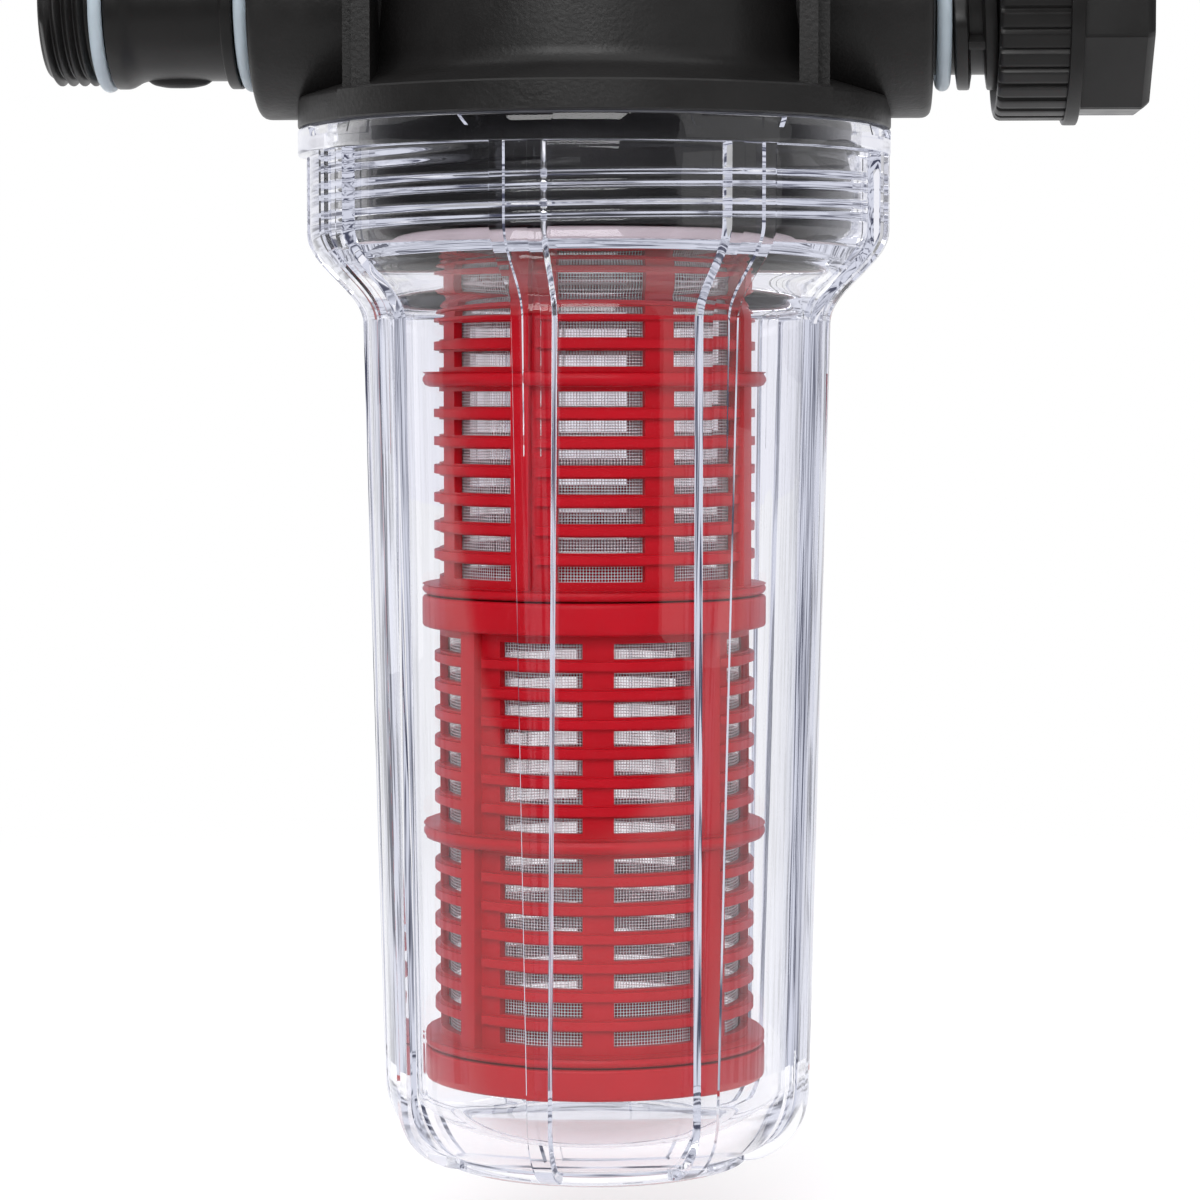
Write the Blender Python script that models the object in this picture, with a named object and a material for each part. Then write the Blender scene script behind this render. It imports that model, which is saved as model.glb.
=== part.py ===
"""Garden pump prefilter: head with two pipe fittings, clear ribbed bowl, red slotted cartridge.

Metres, +Z up. The bowl's axis is the Z axis, its foot ring stands on z = 0, and the pipe line runs
along X. Angles around the bowl are taken from the front (-Y) towards +X.
"""
import math

import bmesh
import bpy
from mathutils import Matrix

MM = 0.001

# Clearance between pieces that seat on each other
GAP = 0.3 * MM

# Pipe line
PIPE_HEIGHT = 236.0 * MM
FLOW_RADIUS = 12.6 * MM

# Head
SOCKET_LIFT = 2.4 * MM
FLANGE_THICKNESS = 5.9 * MM
FLANGE_EDGE = 0.6 * MM
SHELF_RISE = 3.2 * MM
SHELF_FILLET = 3.0 * MM
DRUM_WALL = 4.0 * MM
DRUM_RISE = 35.0 * MM
DRUM_EDGE = 6.0 * MM
DRUM_CROWN = 1.0 * MM
SOCKET_WALL = 7.0 * MM
SOCKET_OVERHANG = 8.0 * MM
SOCKET_EDGE = 1.6 * MM
SOCKET_DEPTH = 13.0 * MM
SPIGOT_WALL = 3.7 * MM
NECK_CLEARANCE = 11.5 * MM
NECK_WALL = 5.5 * MM
NECK_LENGTH = 20.6 * MM
NECK_EDGE = 0.8 * MM
CEILING_RISE = 0.3 * MM
PORT_DEPTH = 5.0 * MM
OUTLET_DUCT_LAND = 1.4 * MM
DUCT_RISE = 1.7 * MM
INLET_DUCT_LAND = 2.0 * MM
INLET_DUCT_WIDTH = 6.0 * MM
INLET_DUCT_HALF_ANGLE = 28.0

# Front of the head
PLATE_HALF_ANGLE = 52.0
PLATE_PROUD = 0.8 * MM
PLATE_LIFT = 0.2 * MM
FRAME_INSET = 3.8 * MM
FRAME_WIDTH = 3.6 * MM
FRAME_SETBACK = 0.8 * MM
FRAME_TOP_DROP = 6.0 * MM
FRAME_SLANT_HEIGHT = 12.0 * MM
FRAME_ROOT = 12.0 * MM

# Bowl
RIM_BAND = 5.1 * MM
RIB_COUNT = 8
RIB_ANGLE = 10.2
RIB_FOOT_ANGLE = 5.8
RIB_FIRST = -11.5
RIB_DEPTH = 2.4 * MM
WALL = 3.2 * MM
SHOULDER_DROP = 18.7 * MM
SHOULDER_HEIGHT = 20.0 * MM
BODY_CLEARANCE = 4.0 * MM
BODY_TAPER = 3.6 * MM
CORNER_HEIGHT = 15.0 * MM
FOOT_RADIUS = 31.5 * MM
FOOT_WIDTH = 4.0 * MM
FOOT_HEIGHT = 3.0 * MM
FOOT_RECESS = 1.8 * MM
RIB_FOOT_LIFT = 0.8 * MM
NOTCH_START = -10.8
NOTCH_END = 6.9
NOTCH_HEIGHT = 2.1 * MM
NOTCH_DEPTH = 1.2 * MM
THREAD_SPACE = 2.4 * MM
LEDGE_WIDTH = 6.1 * MM

# Cartridge
COLLAR_RADIUS = 35.0 * MM
COLLAR_HEIGHT = 6.4 * MM
CAGE_FLANGE = 2.0 * MM
CAGE_WALL_INSET = 2.7 * MM
CAGE_WALL = 2.4 * MM
CAGE_LEDGE = 0.9 * MM
CAGE_RIB_DEPTH = 1.2 * MM
CAGE_RIB_ANGLE = 11.0
CAGE_BAR_ANGLE = 11.4
WINDOW_PITCH = 5.73 * MM
WINDOW_HEIGHT = 3.1 * MM
MIDDLE_RING = 3.0 * MM
UPPER_CAGE_TURN = -23.5
LOWER_CAGE_TURN = -43.1
PLUG_CLEARANCE = 0.7 * MM
PLUG_WALL = 2.3 * MM
PLUG_HEIGHT = 4.5 * MM
MESH_THICKNESS = 0.4 * MM
CAP_HEIGHT = 6.3 * MM
CAP_FLOOR = 2.2 * MM
CAP_CLEARANCE = 11.5 * MM
CARTRIDGE_SEAL_WIDTH = 4.8 * MM
CARTRIDGE_SEAL_THICKNESS = 1.8 * MM

# Seal rings
BOWL_SEAL_CORD = 2.2 * MM
HOSE_SEAL_CORD = 2.8 * MM
HEAD_SEAL_CORD = 3.0 * MM
LOOSE_SEAL_CORD = 3.0 * MM
LOOSE_SEAL_PLAY = 0.9 * MM

# Inlet nipple
INLET_THREAD_WALL = 4.0 * MM
INLET_THREAD_LENGTH = 10.2 * MM
INLET_END_CHAMFER = 1.0 * MM
INLET_COLLAR_WALL = 4.7 * MM
INLET_COLLAR_LENGTH = 3.4 * MM
INLET_PIPE_WALL = 3.1 * MM
INLET_PIPE_LENGTH = 20.0 * MM
INLET_INNER_COLLAR = 2.4 * MM
BOSS_RADIUS = 8.0 * MM
BOSS_DEPTH = 1.4 * MM
BOSS_FROM_COLLAR = 10.5 * MM

# Outlet nipple and union nut
OUTLET_WALL = 2.4 * MM
OUTLET_THREAD_DEPTH = 3.1 * MM
OUTLET_THREAD_PITCH = 5.9 * MM
OUTLET_THREAD_WIDTH = 3.2 * MM
OUTLET_CREST_WIDTH = 2.3 * MM
OUTLET_THREAD_TURNS = 3.6
OUTLET_THREAD_START = 5.0 * MM
OUTLET_LENGTH = 30.0 * MM
NUT_START = 12.6 * MM
NUT_GRIP_WALL = 5.5 * MM
NUT_GRIP_LENGTH = 13.8 * MM
NUT_END_EDGE = 0.9 * MM
FLUTE_COUNT = 36
FLUTE_DEPTH = 0.7 * MM
FLUTE_WIDTH = 0.28
NUT_RING_PROUD = 1.0 * MM
NUT_RING_LENGTH = 2.8 * MM
OCTAGON_PROUD = 0.3 * MM
OCTAGON_CHAMFER = 1.4 * MM
NUT_THREAD_CLEARANCE = 0.6 * MM
GASKET_THICKNESS = 2.0 * MM
GASKET_BORE_PLAY = 0.2 * MM
NUT_PORT_PLAY = 2.8 * MM
NUT_PORT_DEPTH = 10.4 * MM

# Facets
ROUND_STEPS = 40
PIPE_STEPS = 32
RING_STEPS = 24
CORD_STEPS = 6
THREAD_STEPS = 16
CORNER_STEPS = 3
SHOULDER_STEPS = 4
SECTOR_STEPS = 8

# Radii worked out from the cartridge outwards
CAGE_WALL_OUTER = COLLAR_RADIUS - CAGE_WALL_INSET
CAGE_RIB_RADIUS = CAGE_WALL_OUTER + CAGE_RIB_DEPTH
NECK_BORE = COLLAR_RADIUS + NECK_CLEARANCE
NECK_RADIUS = NECK_BORE + NECK_WALL
BOWL_BORE = NECK_RADIUS + THREAD_SPACE
RIM_WALL_RADIUS = BOWL_BORE + WALL
RIM_RADIUS = RIM_WALL_RADIUS + RIB_DEPTH
FLANGE_RADIUS = RIM_RADIUS
SOCKET_REACH = FLANGE_RADIUS + SOCKET_OVERHANG
INLET_DUCT_INNER = COLLAR_RADIUS + INLET_DUCT_LAND
DRUM_RADIUS = INLET_DUCT_INNER + INLET_DUCT_WIDTH + DRUM_WALL
FRAME_OFFSET = DRUM_RADIUS - FRAME_INSET
BODY_RADIUS_FOOT = COLLAR_RADIUS + BODY_CLEARANCE + WALL + RIB_DEPTH
BODY_RADIUS_TOP = BODY_RADIUS_FOOT + BODY_TAPER

# Radii worked out from the flow bore outwards
SPIGOT_RADIUS = FLOW_RADIUS + SPIGOT_WALL
SOCKET_BORE = SPIGOT_RADIUS + GAP
SOCKET_RADIUS = SOCKET_BORE + SOCKET_WALL
OUTLET_DUCT_RADIUS = FLOW_RADIUS + OUTLET_DUCT_LAND
INLET_THREAD_RADIUS = FLOW_RADIUS + INLET_THREAD_WALL
INLET_COLLAR_RADIUS = FLOW_RADIUS + INLET_COLLAR_WALL
INLET_PIPE_RADIUS = FLOW_RADIUS + INLET_PIPE_WALL
OUTLET_ROOT_RADIUS = FLOW_RADIUS + OUTLET_WALL
OUTLET_CREST_RADIUS = OUTLET_ROOT_RADIUS + OUTLET_THREAD_DEPTH
GASKET_BORE = FLOW_RADIUS + GASKET_BORE_PLAY
NUT_PORT_RADIUS = FLOW_RADIUS + NUT_PORT_PLAY
NUT_BORE = OUTLET_CREST_RADIUS + NUT_THREAD_CLEARANCE
NUT_GRIP_RADIUS = NUT_BORE + NUT_GRIP_WALL
NUT_RING_RADIUS = NUT_GRIP_RADIUS + NUT_RING_PROUD
OCTAGON_RADIUS = NUT_GRIP_RADIUS + OCTAGON_PROUD

# Places worked out from the sizes above
FLANGE_BOTTOM = PIPE_HEIGHT - SOCKET_RADIUS - SOCKET_LIFT
FLANGE_TOP = FLANGE_BOTTOM + FLANGE_THICKNESS
BOWL_TOP = FLANGE_BOTTOM - GAP
NECK_BOTTOM = FLANGE_BOTTOM - NECK_LENGTH
CEILING = FLANGE_BOTTOM + CEILING_RISE
LEDGE_TOP = NECK_BOTTOM - 2 * GAP - BOWL_SEAL_CORD
BOWL_FLOOR = FOOT_HEIGHT + WALL + RIB_FOOT_LIFT / 4

CAGE_BORE = CAGE_WALL_OUTER - CAGE_WALL
LEDGE_BORE = CAGE_BORE - CAGE_LEDGE
PLUG_RADIUS = LEDGE_BORE - PLUG_CLEARANCE
PLUG_BORE = PLUG_RADIUS - PLUG_WALL
PORT_RADIUS = LEDGE_BORE
CARTRIDGE_TOP = CEILING - 2 * GAP - CARTRIDGE_SEAL_THICKNESS
CAP_BOTTOM = BOWL_FLOOR + CAP_CLEARANCE
LOWER_CAGE_BOTTOM = CAP_BOTTOM + CAP_HEIGHT + GAP
CAGE_HEIGHT = (CARTRIDGE_TOP - LOWER_CAGE_BOTTOM - GAP) / 2
UPPER_CAGE_BOTTOM = LOWER_CAGE_BOTTOM + CAGE_HEIGHT + GAP

OUTLET_END = SOCKET_REACH + OUTLET_LENGTH
NUT_LEFT = SOCKET_REACH + NUT_START
NUT_SHOULDER = OUTLET_END + 2 * GAP + GASKET_THICKNESS
NUT_END = NUT_SHOULDER + NUT_PORT_DEPTH

UPRIGHT = Matrix.Identity(4)
ALONG_PIPE = Matrix.Translation((0.0, 0.0, PIPE_HEIGHT)) @ Matrix.Rotation(math.radians(90), 4, "Y")


def clear_scene():
    for item in list(bpy.data.objects):
        bpy.data.objects.remove(item, do_unlink=True)


def plastic(name, colour, roughness, transmission=0.0):
    material = bpy.data.materials.new(name)
    material.use_nodes = True
    shader = material.node_tree.nodes["Principled BSDF"]
    shader.inputs["Base Color"].default_value = (*colour, 1.0)
    shader.inputs["Roughness"].default_value = roughness
    shader.inputs["Metallic"].default_value = 0.0
    shader.inputs["Transmission Weight"].default_value = transmission
    material.diffuse_color = (*colour, 1.0 - 0.6 * transmission)
    return material


def finish(name, bm, material, frame=UPRIGHT):
    """Close a mesh, point its faces outward and put it in the scene under a name."""
    bmesh.ops.remove_doubles(bm, verts=bm.verts, dist=1e-7)
    bmesh.ops.recalc_face_normals(bm, faces=bm.faces)
    mesh = bpy.data.meshes.new(name)
    bm.to_mesh(mesh)
    bm.free()
    mesh.shade_smooth()
    mesh.set_sharp_from_angle(angle=math.radians(35))
    mesh.materials.append(material)
    item = bpy.data.objects.new(name, mesh)
    item.matrix_world = frame
    bpy.context.collection.objects.link(item)
    return item


def combine(item, other, operation):
    """Add or cut another shape, which is then hidden as a working shape."""
    modifier = item.modifiers.new(other.name, "BOOLEAN")
    modifier.operation = operation
    modifier.solver = "EXACT"
    modifier.object = other
    other.hide_render = True
    other.display_type = "WIRE"


def even_angles(count, shift=0.0):
    """Angles all round, turned on by a share of one step."""
    return [360.0 * (step + shift) / count for step in range(count)]


def around(radius, degrees, height):
    """A point at an angle from the front (-Y) towards +X."""
    turn = math.radians(degrees)
    return (radius * math.sin(turn), -radius * math.cos(turn), height)


def skin_rows(bm, rows, closed):
    """Faces between neighbouring rings of points, each ring closed on itself."""
    rings = [[bm.verts.new(point) for point in row] for row in rows]
    pairs = list(zip(rings, rings[1:]))
    if closed:
        pairs.append((rings[-1], rings[0]))
    for lower, upper in pairs:
        count = len(lower)
        for step in range(count):
            following = (step + 1) % count
            bm.faces.new((lower[step], lower[following], upper[following], upper[step]))


def turn_outline(bm, outline, angles):
    """Revolve a closed outline of (radius, height) points around local Z."""
    rows = [[around(radius, angle, height) for angle in angles] for radius, height in outline]
    skin_rows(bm, rows, closed=True)


def turned(name, outline, material, angles=None, frame=UPRIGHT):
    bm = bmesh.new()
    turn_outline(bm, outline, angles or even_angles(ROUND_STEPS))
    drop_flat_faces(bm)
    return finish(name, bm, material, frame)


def drop_flat_faces(bm):
    """Merge the points that meet on the axis or in a step, and lose the faces that collapse there."""
    bmesh.ops.remove_doubles(bm, verts=bm.verts, dist=1e-7)
    bmesh.ops.dissolve_degenerate(bm, edges=bm.edges, dist=1e-7)
    loose = [edge for edge in bm.edges if edge.is_wire]
    bmesh.ops.delete(bm, geom=loose, context="EDGES")


def arc(centre, radii, start, end, steps):
    """Points on a quarter-ellipse in the (radius, height) plane, angles in degrees."""
    points = []
    for step in range(steps + 1):
        turn = math.radians(start + (end - start) * step / steps)
        points.append((centre[0] + radii[0] * math.cos(turn), centre[1] + radii[1] * math.sin(turn)))
    return points


def seal_ring(name, inner_radius, cord, centre, material, frame=UPRIGHT):
    """A ring of round cord, centred at a distance along its axis."""
    middle = inner_radius + cord / 2
    outline = arc((middle, centre), (cord / 2, cord / 2), 0, 360, CORD_STEPS)[:-1]
    return turned(name, outline, material, even_angles(RING_STEPS), frame)


def sector_prism(name, inner, outer, half_angle, middle, bottom, top, material):
    """A slice of a ring between two radii and two heights."""
    bm = bmesh.new()
    rows = []
    for step in range(SECTOR_STEPS + 1):
        angle = middle - half_angle + 2 * half_angle * step / SECTOR_STEPS
        rows.append([
            around(inner, angle, bottom),
            around(outer, angle, bottom),
            around(outer, angle, top),
            around(inner, angle, top),
        ])
    skin_rows(bm, rows, closed=False)
    bmesh.ops.holes_fill(bm, edges=bm.edges, sides=4)
    return finish(name, bm, material)


def head_outline():
    """The head's turned form: neck, flange, sloping shelf, drum, and the hollow under them."""
    shelf_top = FLANGE_TOP + SHELF_RISE
    drum_top = PIPE_HEIGHT + DRUM_RISE
    port_top = CEILING + PORT_DEPTH
    outline = [
        (NECK_BORE, NECK_BOTTOM),
        (NECK_RADIUS - NECK_EDGE, NECK_BOTTOM),
        (NECK_RADIUS, NECK_BOTTOM + NECK_EDGE),
        (NECK_RADIUS, FLANGE_BOTTOM),
        (FLANGE_RADIUS - FLANGE_EDGE, FLANGE_BOTTOM),
        (FLANGE_RADIUS, FLANGE_BOTTOM + FLANGE_EDGE),
        (FLANGE_RADIUS, FLANGE_TOP - FLANGE_EDGE),
        (FLANGE_RADIUS - FLANGE_EDGE, FLANGE_TOP),
    ]
    fillet_centre = (DRUM_RADIUS + SHELF_FILLET, shelf_top + SHELF_FILLET)
    outline += arc(fillet_centre, (SHELF_FILLET, SHELF_FILLET), 270, 180, 3)
    edge_centre = (DRUM_RADIUS - DRUM_EDGE, drum_top - DRUM_EDGE)
    outline += arc(edge_centre, (DRUM_EDGE, DRUM_EDGE), 0, 90, 4)
    outline += [
        (0.0, drum_top + DRUM_CROWN),
        (0.0, PIPE_HEIGHT + DUCT_RISE),
        (OUTLET_DUCT_RADIUS, PIPE_HEIGHT + DUCT_RISE),
        (OUTLET_DUCT_RADIUS, port_top),
        (PORT_RADIUS, port_top),
        (PORT_RADIUS, CEILING),
        (NECK_BORE, CEILING),
    ]
    return outline


def socket_outline(far_end):
    """A solid pipe socket from the drum's middle out to its rounded end."""
    side = 1 if far_end > 0 else -1
    rounding = [
        (radius, side * height)
        for radius, height in arc(
            (SOCKET_RADIUS - SOCKET_EDGE, SOCKET_REACH - SOCKET_EDGE), (SOCKET_EDGE, SOCKET_EDGE), 0, 90, 3
        )
    ]
    root = side * DRUM_RADIUS / 2
    return [(0.0, root), (SOCKET_RADIUS, root), *rounding, (0.0, far_end)]


def flow_cutter_outline(side, inner_end):
    """The bore inside a socket: a wide seat for the nipple, then the narrower flow bore."""
    seat = side * (SOCKET_REACH - SOCKET_DEPTH - GAP)
    beyond = side * (SOCKET_REACH + SOCKET_EDGE)
    return [
        (0.0, inner_end),
        (FLOW_RADIUS, inner_end),
        (FLOW_RADIUS, seat),
        (SOCKET_BORE, seat),
        (SOCKET_BORE, beyond),
        (0.0, beyond),
    ]


def frame_rib(name, offset, material):
    """An upright rib beside the front face, standing on the flange and sloping back at its top."""
    outer = abs(offset) + FRAME_WIDTH / 2
    front = -math.sqrt(FLANGE_RADIUS**2 - outer**2) + FRAME_SETBACK
    back = front + FRAME_ROOT + (DRUM_RADIUS - abs(offset))
    foot = FLANGE_BOTTOM + FLANGE_THICKNESS / 2
    top = PIPE_HEIGHT + DRUM_RISE - DRUM_EDGE - FRAME_TOP_DROP
    side_view = [(front, foot), (front, top - FRAME_SLANT_HEIGHT), (back, top), (back, foot)]
    bm = bmesh.new()
    rows = [
        [(offset + step * FRAME_WIDTH / 2, depth, height) for depth, height in side_view]
        for step in (-1, 1)
    ]
    skin_rows(bm, rows, closed=False)
    bmesh.ops.holes_fill(bm, edges=bm.edges, sides=4)
    return finish(name, bm, material)


def build_head(black):
    head = turned("head_body", head_outline(), black)
    pipe_angles = even_angles(PIPE_STEPS)
    for name, side in (("inlet_socket", -1), ("outlet_socket", 1)):
        outline = socket_outline(side * SOCKET_REACH)
        combine(head, turned(name, outline, black, pipe_angles, ALONG_PIPE), "UNION")
    plate = sector_prism(
        "front_plate", NECK_RADIUS, FLANGE_RADIUS + PLATE_PROUD, PLATE_HALF_ANGLE, 0.0,
        FLANGE_BOTTOM + PLATE_LIFT, FLANGE_TOP + PLATE_LIFT, black,
    )
    combine(head, plate, "UNION")
    for name, side in (("left_frame", -1), ("right_frame", 1)):
        combine(head, frame_rib(name, side * FRAME_OFFSET, black), "UNION")
    inlet_end = -INLET_DUCT_INNER - INLET_DUCT_WIDTH / 2
    for name, side, inner_end in (("inlet_bore", -1, inlet_end), ("outlet_bore", 1, 0.0)):
        outline = flow_cutter_outline(side, inner_end)
        cutter = turned(name, outline, black, even_angles(PIPE_STEPS, 0.5), ALONG_PIPE)
        combine(head, cutter, "DIFFERENCE")
    duct = sector_prism(
        "inlet_duct", INLET_DUCT_INNER, INLET_DUCT_INNER + INLET_DUCT_WIDTH, INLET_DUCT_HALF_ANGLE, -90.0,
        CEILING - GAP, PIPE_HEIGHT + DUCT_RISE, black,
    )
    combine(head, duct, "DIFFERENCE")


def shoulder(top_radius, bottom_radius, top, bottom, steps):
    """Points down an S-shaped shoulder between two straight walls."""
    points = []
    for step in range(steps + 1):
        share = step / steps
        swing = (1 + math.cos(math.pi * share)) / 2
        points.append((bottom_radius + (top_radius - bottom_radius) * swing, top + (bottom - top) * share))
    return points


def bowl_side(rim_wall, body_top, body_foot, foot_height):
    """One line down the outside of the bowl, from under the rim band to the foot ring."""
    shoulder_top = BOWL_TOP - SHOULDER_DROP
    line = [(rim_wall, BOWL_TOP - RIM_BAND)]
    line += shoulder(rim_wall, body_top, shoulder_top, shoulder_top - SHOULDER_HEIGHT, SHOULDER_STEPS)
    corner_centre = (FOOT_RADIUS, CORNER_HEIGHT)
    corner_size = (body_foot - FOOT_RADIUS, CORNER_HEIGHT - foot_height)
    line += arc(corner_centre, corner_size, 0, -90, CORNER_STEPS)
    return line


def bowl_inside():
    """The inside of the bowl, from the rim down to the middle of the floor."""
    body_top = BODY_RADIUS_TOP - RIB_DEPTH - WALL
    body_foot = BODY_RADIUS_FOOT - RIB_DEPTH - WALL
    ledge_bore = BOWL_BORE - LEDGE_WIDTH
    shoulder_bottom = BOWL_TOP - SHOULDER_DROP - SHOULDER_HEIGHT - WALL / 2
    corner = body_foot - (FOOT_RADIUS - WALL)
    line = [(BOWL_BORE, BOWL_TOP), (BOWL_BORE, LEDGE_TOP)]
    line += shoulder(ledge_bore, body_top, LEDGE_TOP, shoulder_bottom, SHOULDER_STEPS - 1)
    line += arc((body_foot - corner, BOWL_FLOOR + corner), (corner, corner), 0, -90, CORNER_STEPS)
    line.append((0.0, BOWL_FLOOR))
    return line


def bowl_columns():
    """Angles around the bowl: (angle, in a notch, on a rib, way a rib's edge leans towards the foot)."""
    pitch = 360.0 / RIB_COUNT
    half = RIB_ANGLE / 2
    columns = []
    for number in range(RIB_COUNT):
        middle = RIB_FIRST + pitch * number
        columns += [
            (middle - pitch / 2, False, False, 0),
            (middle + NOTCH_START, False, False, 0),
            (middle + NOTCH_START, True, False, 0),
            (middle - half, True, False, 1),
            (middle - half, True, True, 1),
            (middle + half, True, True, -1),
            (middle + half, True, False, -1),
            (middle + NOTCH_END, True, False, 0),
            (middle + NOTCH_END, False, False, 0),
            (middle + (NOTCH_END + pitch / 2) / 2, False, False, 0),
        ]
    return columns


def rib_narrowing(height):
    """How far each edge of a rib has moved in at a height, in degrees."""
    straight_top = BOWL_TOP - SHOULDER_DROP - SHOULDER_HEIGHT
    share = (straight_top - height) / (straight_top - CORNER_HEIGHT)
    return (RIB_ANGLE - RIB_FOOT_ANGLE) / 2 * min(1.0, max(0.0, share))


def build_bowl(clear):
    """The bowl's skin as rings of points: up the outside wall, over the rim and down the inside."""
    columns = bowl_columns()
    rib_side = bowl_side(RIM_RADIUS, BODY_RADIUS_TOP, BODY_RADIUS_FOOT, RIB_FOOT_LIFT)
    wall_side = bowl_side(
        RIM_WALL_RADIUS, BODY_RADIUS_TOP - RIB_DEPTH, BODY_RADIUS_FOOT - RIB_DEPTH, FOOT_HEIGHT
    )
    foot_inner = FOOT_RADIUS - FOOT_WIDTH
    rows = []
    foot = [(0.0, FOOT_RECESS), (foot_inner, FOOT_RECESS), (foot_inner, 0.0), (FOOT_RADIUS, 0.0)]
    for radius, height in foot:
        narrowing = rib_narrowing(height)
        rows.append([around(radius, angle + lean * narrowing, height) for angle, _, _, lean in columns])
    for rib_point, wall_point in zip(reversed(rib_side), reversed(wall_side)):
        row = []
        for angle, _, rib, lean in columns:
            radius, height = rib_point if rib else wall_point
            row.append(around(radius, angle + lean * rib_narrowing(height), height))
        rows.append(row)
    notch_floor = BOWL_TOP - NOTCH_HEIGHT
    rows.append([around(RIM_RADIUS, angle, BOWL_TOP - RIM_BAND) for angle, _, _, _ in columns])
    rows.append([around(RIM_RADIUS, angle, notch_floor) for angle, _, _, _ in columns])
    for height in (notch_floor, BOWL_TOP):
        radii = [RIM_RADIUS - NOTCH_DEPTH * notch for _, notch, _, _ in columns]
        rows.append([around(radius, column[0], height) for radius, column in zip(radii, columns)])
    for radius, height in bowl_inside():
        rows.append([around(radius, angle, height) for angle, _, _, _ in columns])
    bm = bmesh.new()
    skin_rows(bm, rows, closed=False)
    drop_flat_faces(bm)
    return finish("bowl", bm, clear)


def cage_columns():
    """Angles where the cage's columns start, with the kind of each column."""
    window = (90.0 - CAGE_RIB_ANGLE - CAGE_BAR_ANGLE) / 4
    widths = [
        ("rib", CAGE_RIB_ANGLE), ("window", window), ("window", window),
        ("bar", CAGE_BAR_ANGLE), ("window", window), ("window", window),
    ]
    starts, kinds = [], []
    angle = -CAGE_RIB_ANGLE / 2
    for _ in range(4):
        for kind, width in widths:
            starts.append(angle)
            kinds.append(kind)
            angle += width
    return starts, kinds


def cage_rows():
    """Heights where the cage's rows start, counted from its foot, with the kind of each row."""
    rows = [("flange", CAGE_FLANGE)]
    open_height = CAGE_HEIGHT - CAGE_FLANGE - COLLAR_HEIGHT
    half = (open_height - MIDDLE_RING) / 2
    bar = WINDOW_PITCH - WINDOW_HEIGHT
    count = max(1, int((half - bar / 2) / WINDOW_PITCH))
    end_band = half - count * WINDOW_PITCH + bar
    lower_half = [("band", end_band)]
    for number in range(count):
        lower_half += [("window", WINDOW_HEIGHT), ("band", bar)]
    lower_half.pop()
    rows += lower_half + [("ring", MIDDLE_RING)] + lower_half[::-1]
    rows += [("collar", COLLAR_HEIGHT), ("plug", PLUG_HEIGHT)]
    levels = [0.0]
    for _, height in rows:
        levels.append(levels[-1] + height)
    return levels, [kind for kind, _ in rows]


def cell_is_solid(column, row, layer):
    """Layers from the inside: plug, clearance, ledge, wall, rib, collar."""
    if row == "plug":
        return layer == "plug"
    if row == "collar":
        return True
    if row == "flange":
        return layer in ("ledge", "wall", "rib", "collar")
    if row == "ring":
        return layer in ("wall", "rib", "collar")
    if layer == "wall":
        return row == "band" or column != "window"
    return layer == "rib" and column == "rib"


def merge_flat_rings(bm):
    """Join the level faces that lie side by side from the axis outwards."""
    bm.normal_update()
    arcs = []
    for edge in bm.edges:
        level = all(abs(face.normal.z) > 0.99 for face in edge.link_faces)
        near, far = (math.hypot(*vert.co.xy) for vert in edge.verts)
        if level and abs(near - far) < MM / 100:
            arcs.append(edge)
    bmesh.ops.dissolve_edges(bm, edges=arcs, use_verts=True)


def build_cage(name, bottom, turn, red):
    """A slotted cage as the skin of the filled cells of a round grid."""
    starts, column_kinds = cage_columns()
    levels, row_kinds = cage_rows()
    radii = [PLUG_BORE, PLUG_RADIUS, LEDGE_BORE, CAGE_BORE, CAGE_WALL_OUTER, CAGE_RIB_RADIUS, COLLAR_RADIUS]
    layer_kinds = ["plug", "clearance", "ledge", "wall", "rib", "collar"]
    count = len(starts)
    filled = set()
    for column, column_kind in enumerate(column_kinds):
        for row, row_kind in enumerate(row_kinds):
            for layer, layer_kind in enumerate(layer_kinds):
                if cell_is_solid(column_kind, row_kind, layer_kind):
                    filled.add((column, row, layer))
    bm = bmesh.new()
    points = {}

    def point(column, row, layer):
        key = (column % count, row, layer)
        if key not in points:
            place = around(radii[layer], starts[key[0]] + turn, bottom + levels[row])
            points[key] = bm.verts.new(place)
        return points[key]

    for column, row, layer in sorted(filled):
        sides = [
            ((1, 0, 0), ((1, 0, 0), (1, 1, 0), (1, 1, 1), (1, 0, 1))),
            ((-1, 0, 0), ((0, 0, 0), (0, 0, 1), (0, 1, 1), (0, 1, 0))),
            ((0, 1, 0), ((0, 1, 0), (0, 1, 1), (1, 1, 1), (1, 1, 0))),
            ((0, -1, 0), ((0, 0, 0), (1, 0, 0), (1, 0, 1), (0, 0, 1))),
            ((0, 0, 1), ((0, 0, 1), (1, 0, 1), (1, 1, 1), (0, 1, 1))),
            ((0, 0, -1), ((0, 0, 0), (0, 1, 0), (1, 1, 0), (1, 0, 0))),
        ]
        for step, corners in sides:
            neighbour = ((column + step[0]) % count, row + step[1], layer + step[2])
            if neighbour not in filled:
                bm.faces.new([point(column + c, row + r, layer + d) for c, r, d in corners])
    merge_flat_rings(bm)
    return finish(name, bm, red)


def build_mesh_sleeve(name, bottom, turn, fabric):
    """A thin sleeve behind the windows, resting on the cage's inner ledge."""
    angles = [start + turn for start in cage_columns()[0]]
    outer = CAGE_BORE - GAP
    inner = outer - MESH_THICKNESS
    foot = bottom + CAGE_FLANGE + GAP
    top = bottom + CAGE_HEIGHT - COLLAR_HEIGHT - GAP
    outline = [(inner, foot), (outer, foot), (outer, top), (inner, top)]
    return turned(name, outline, fabric, angles)


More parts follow.
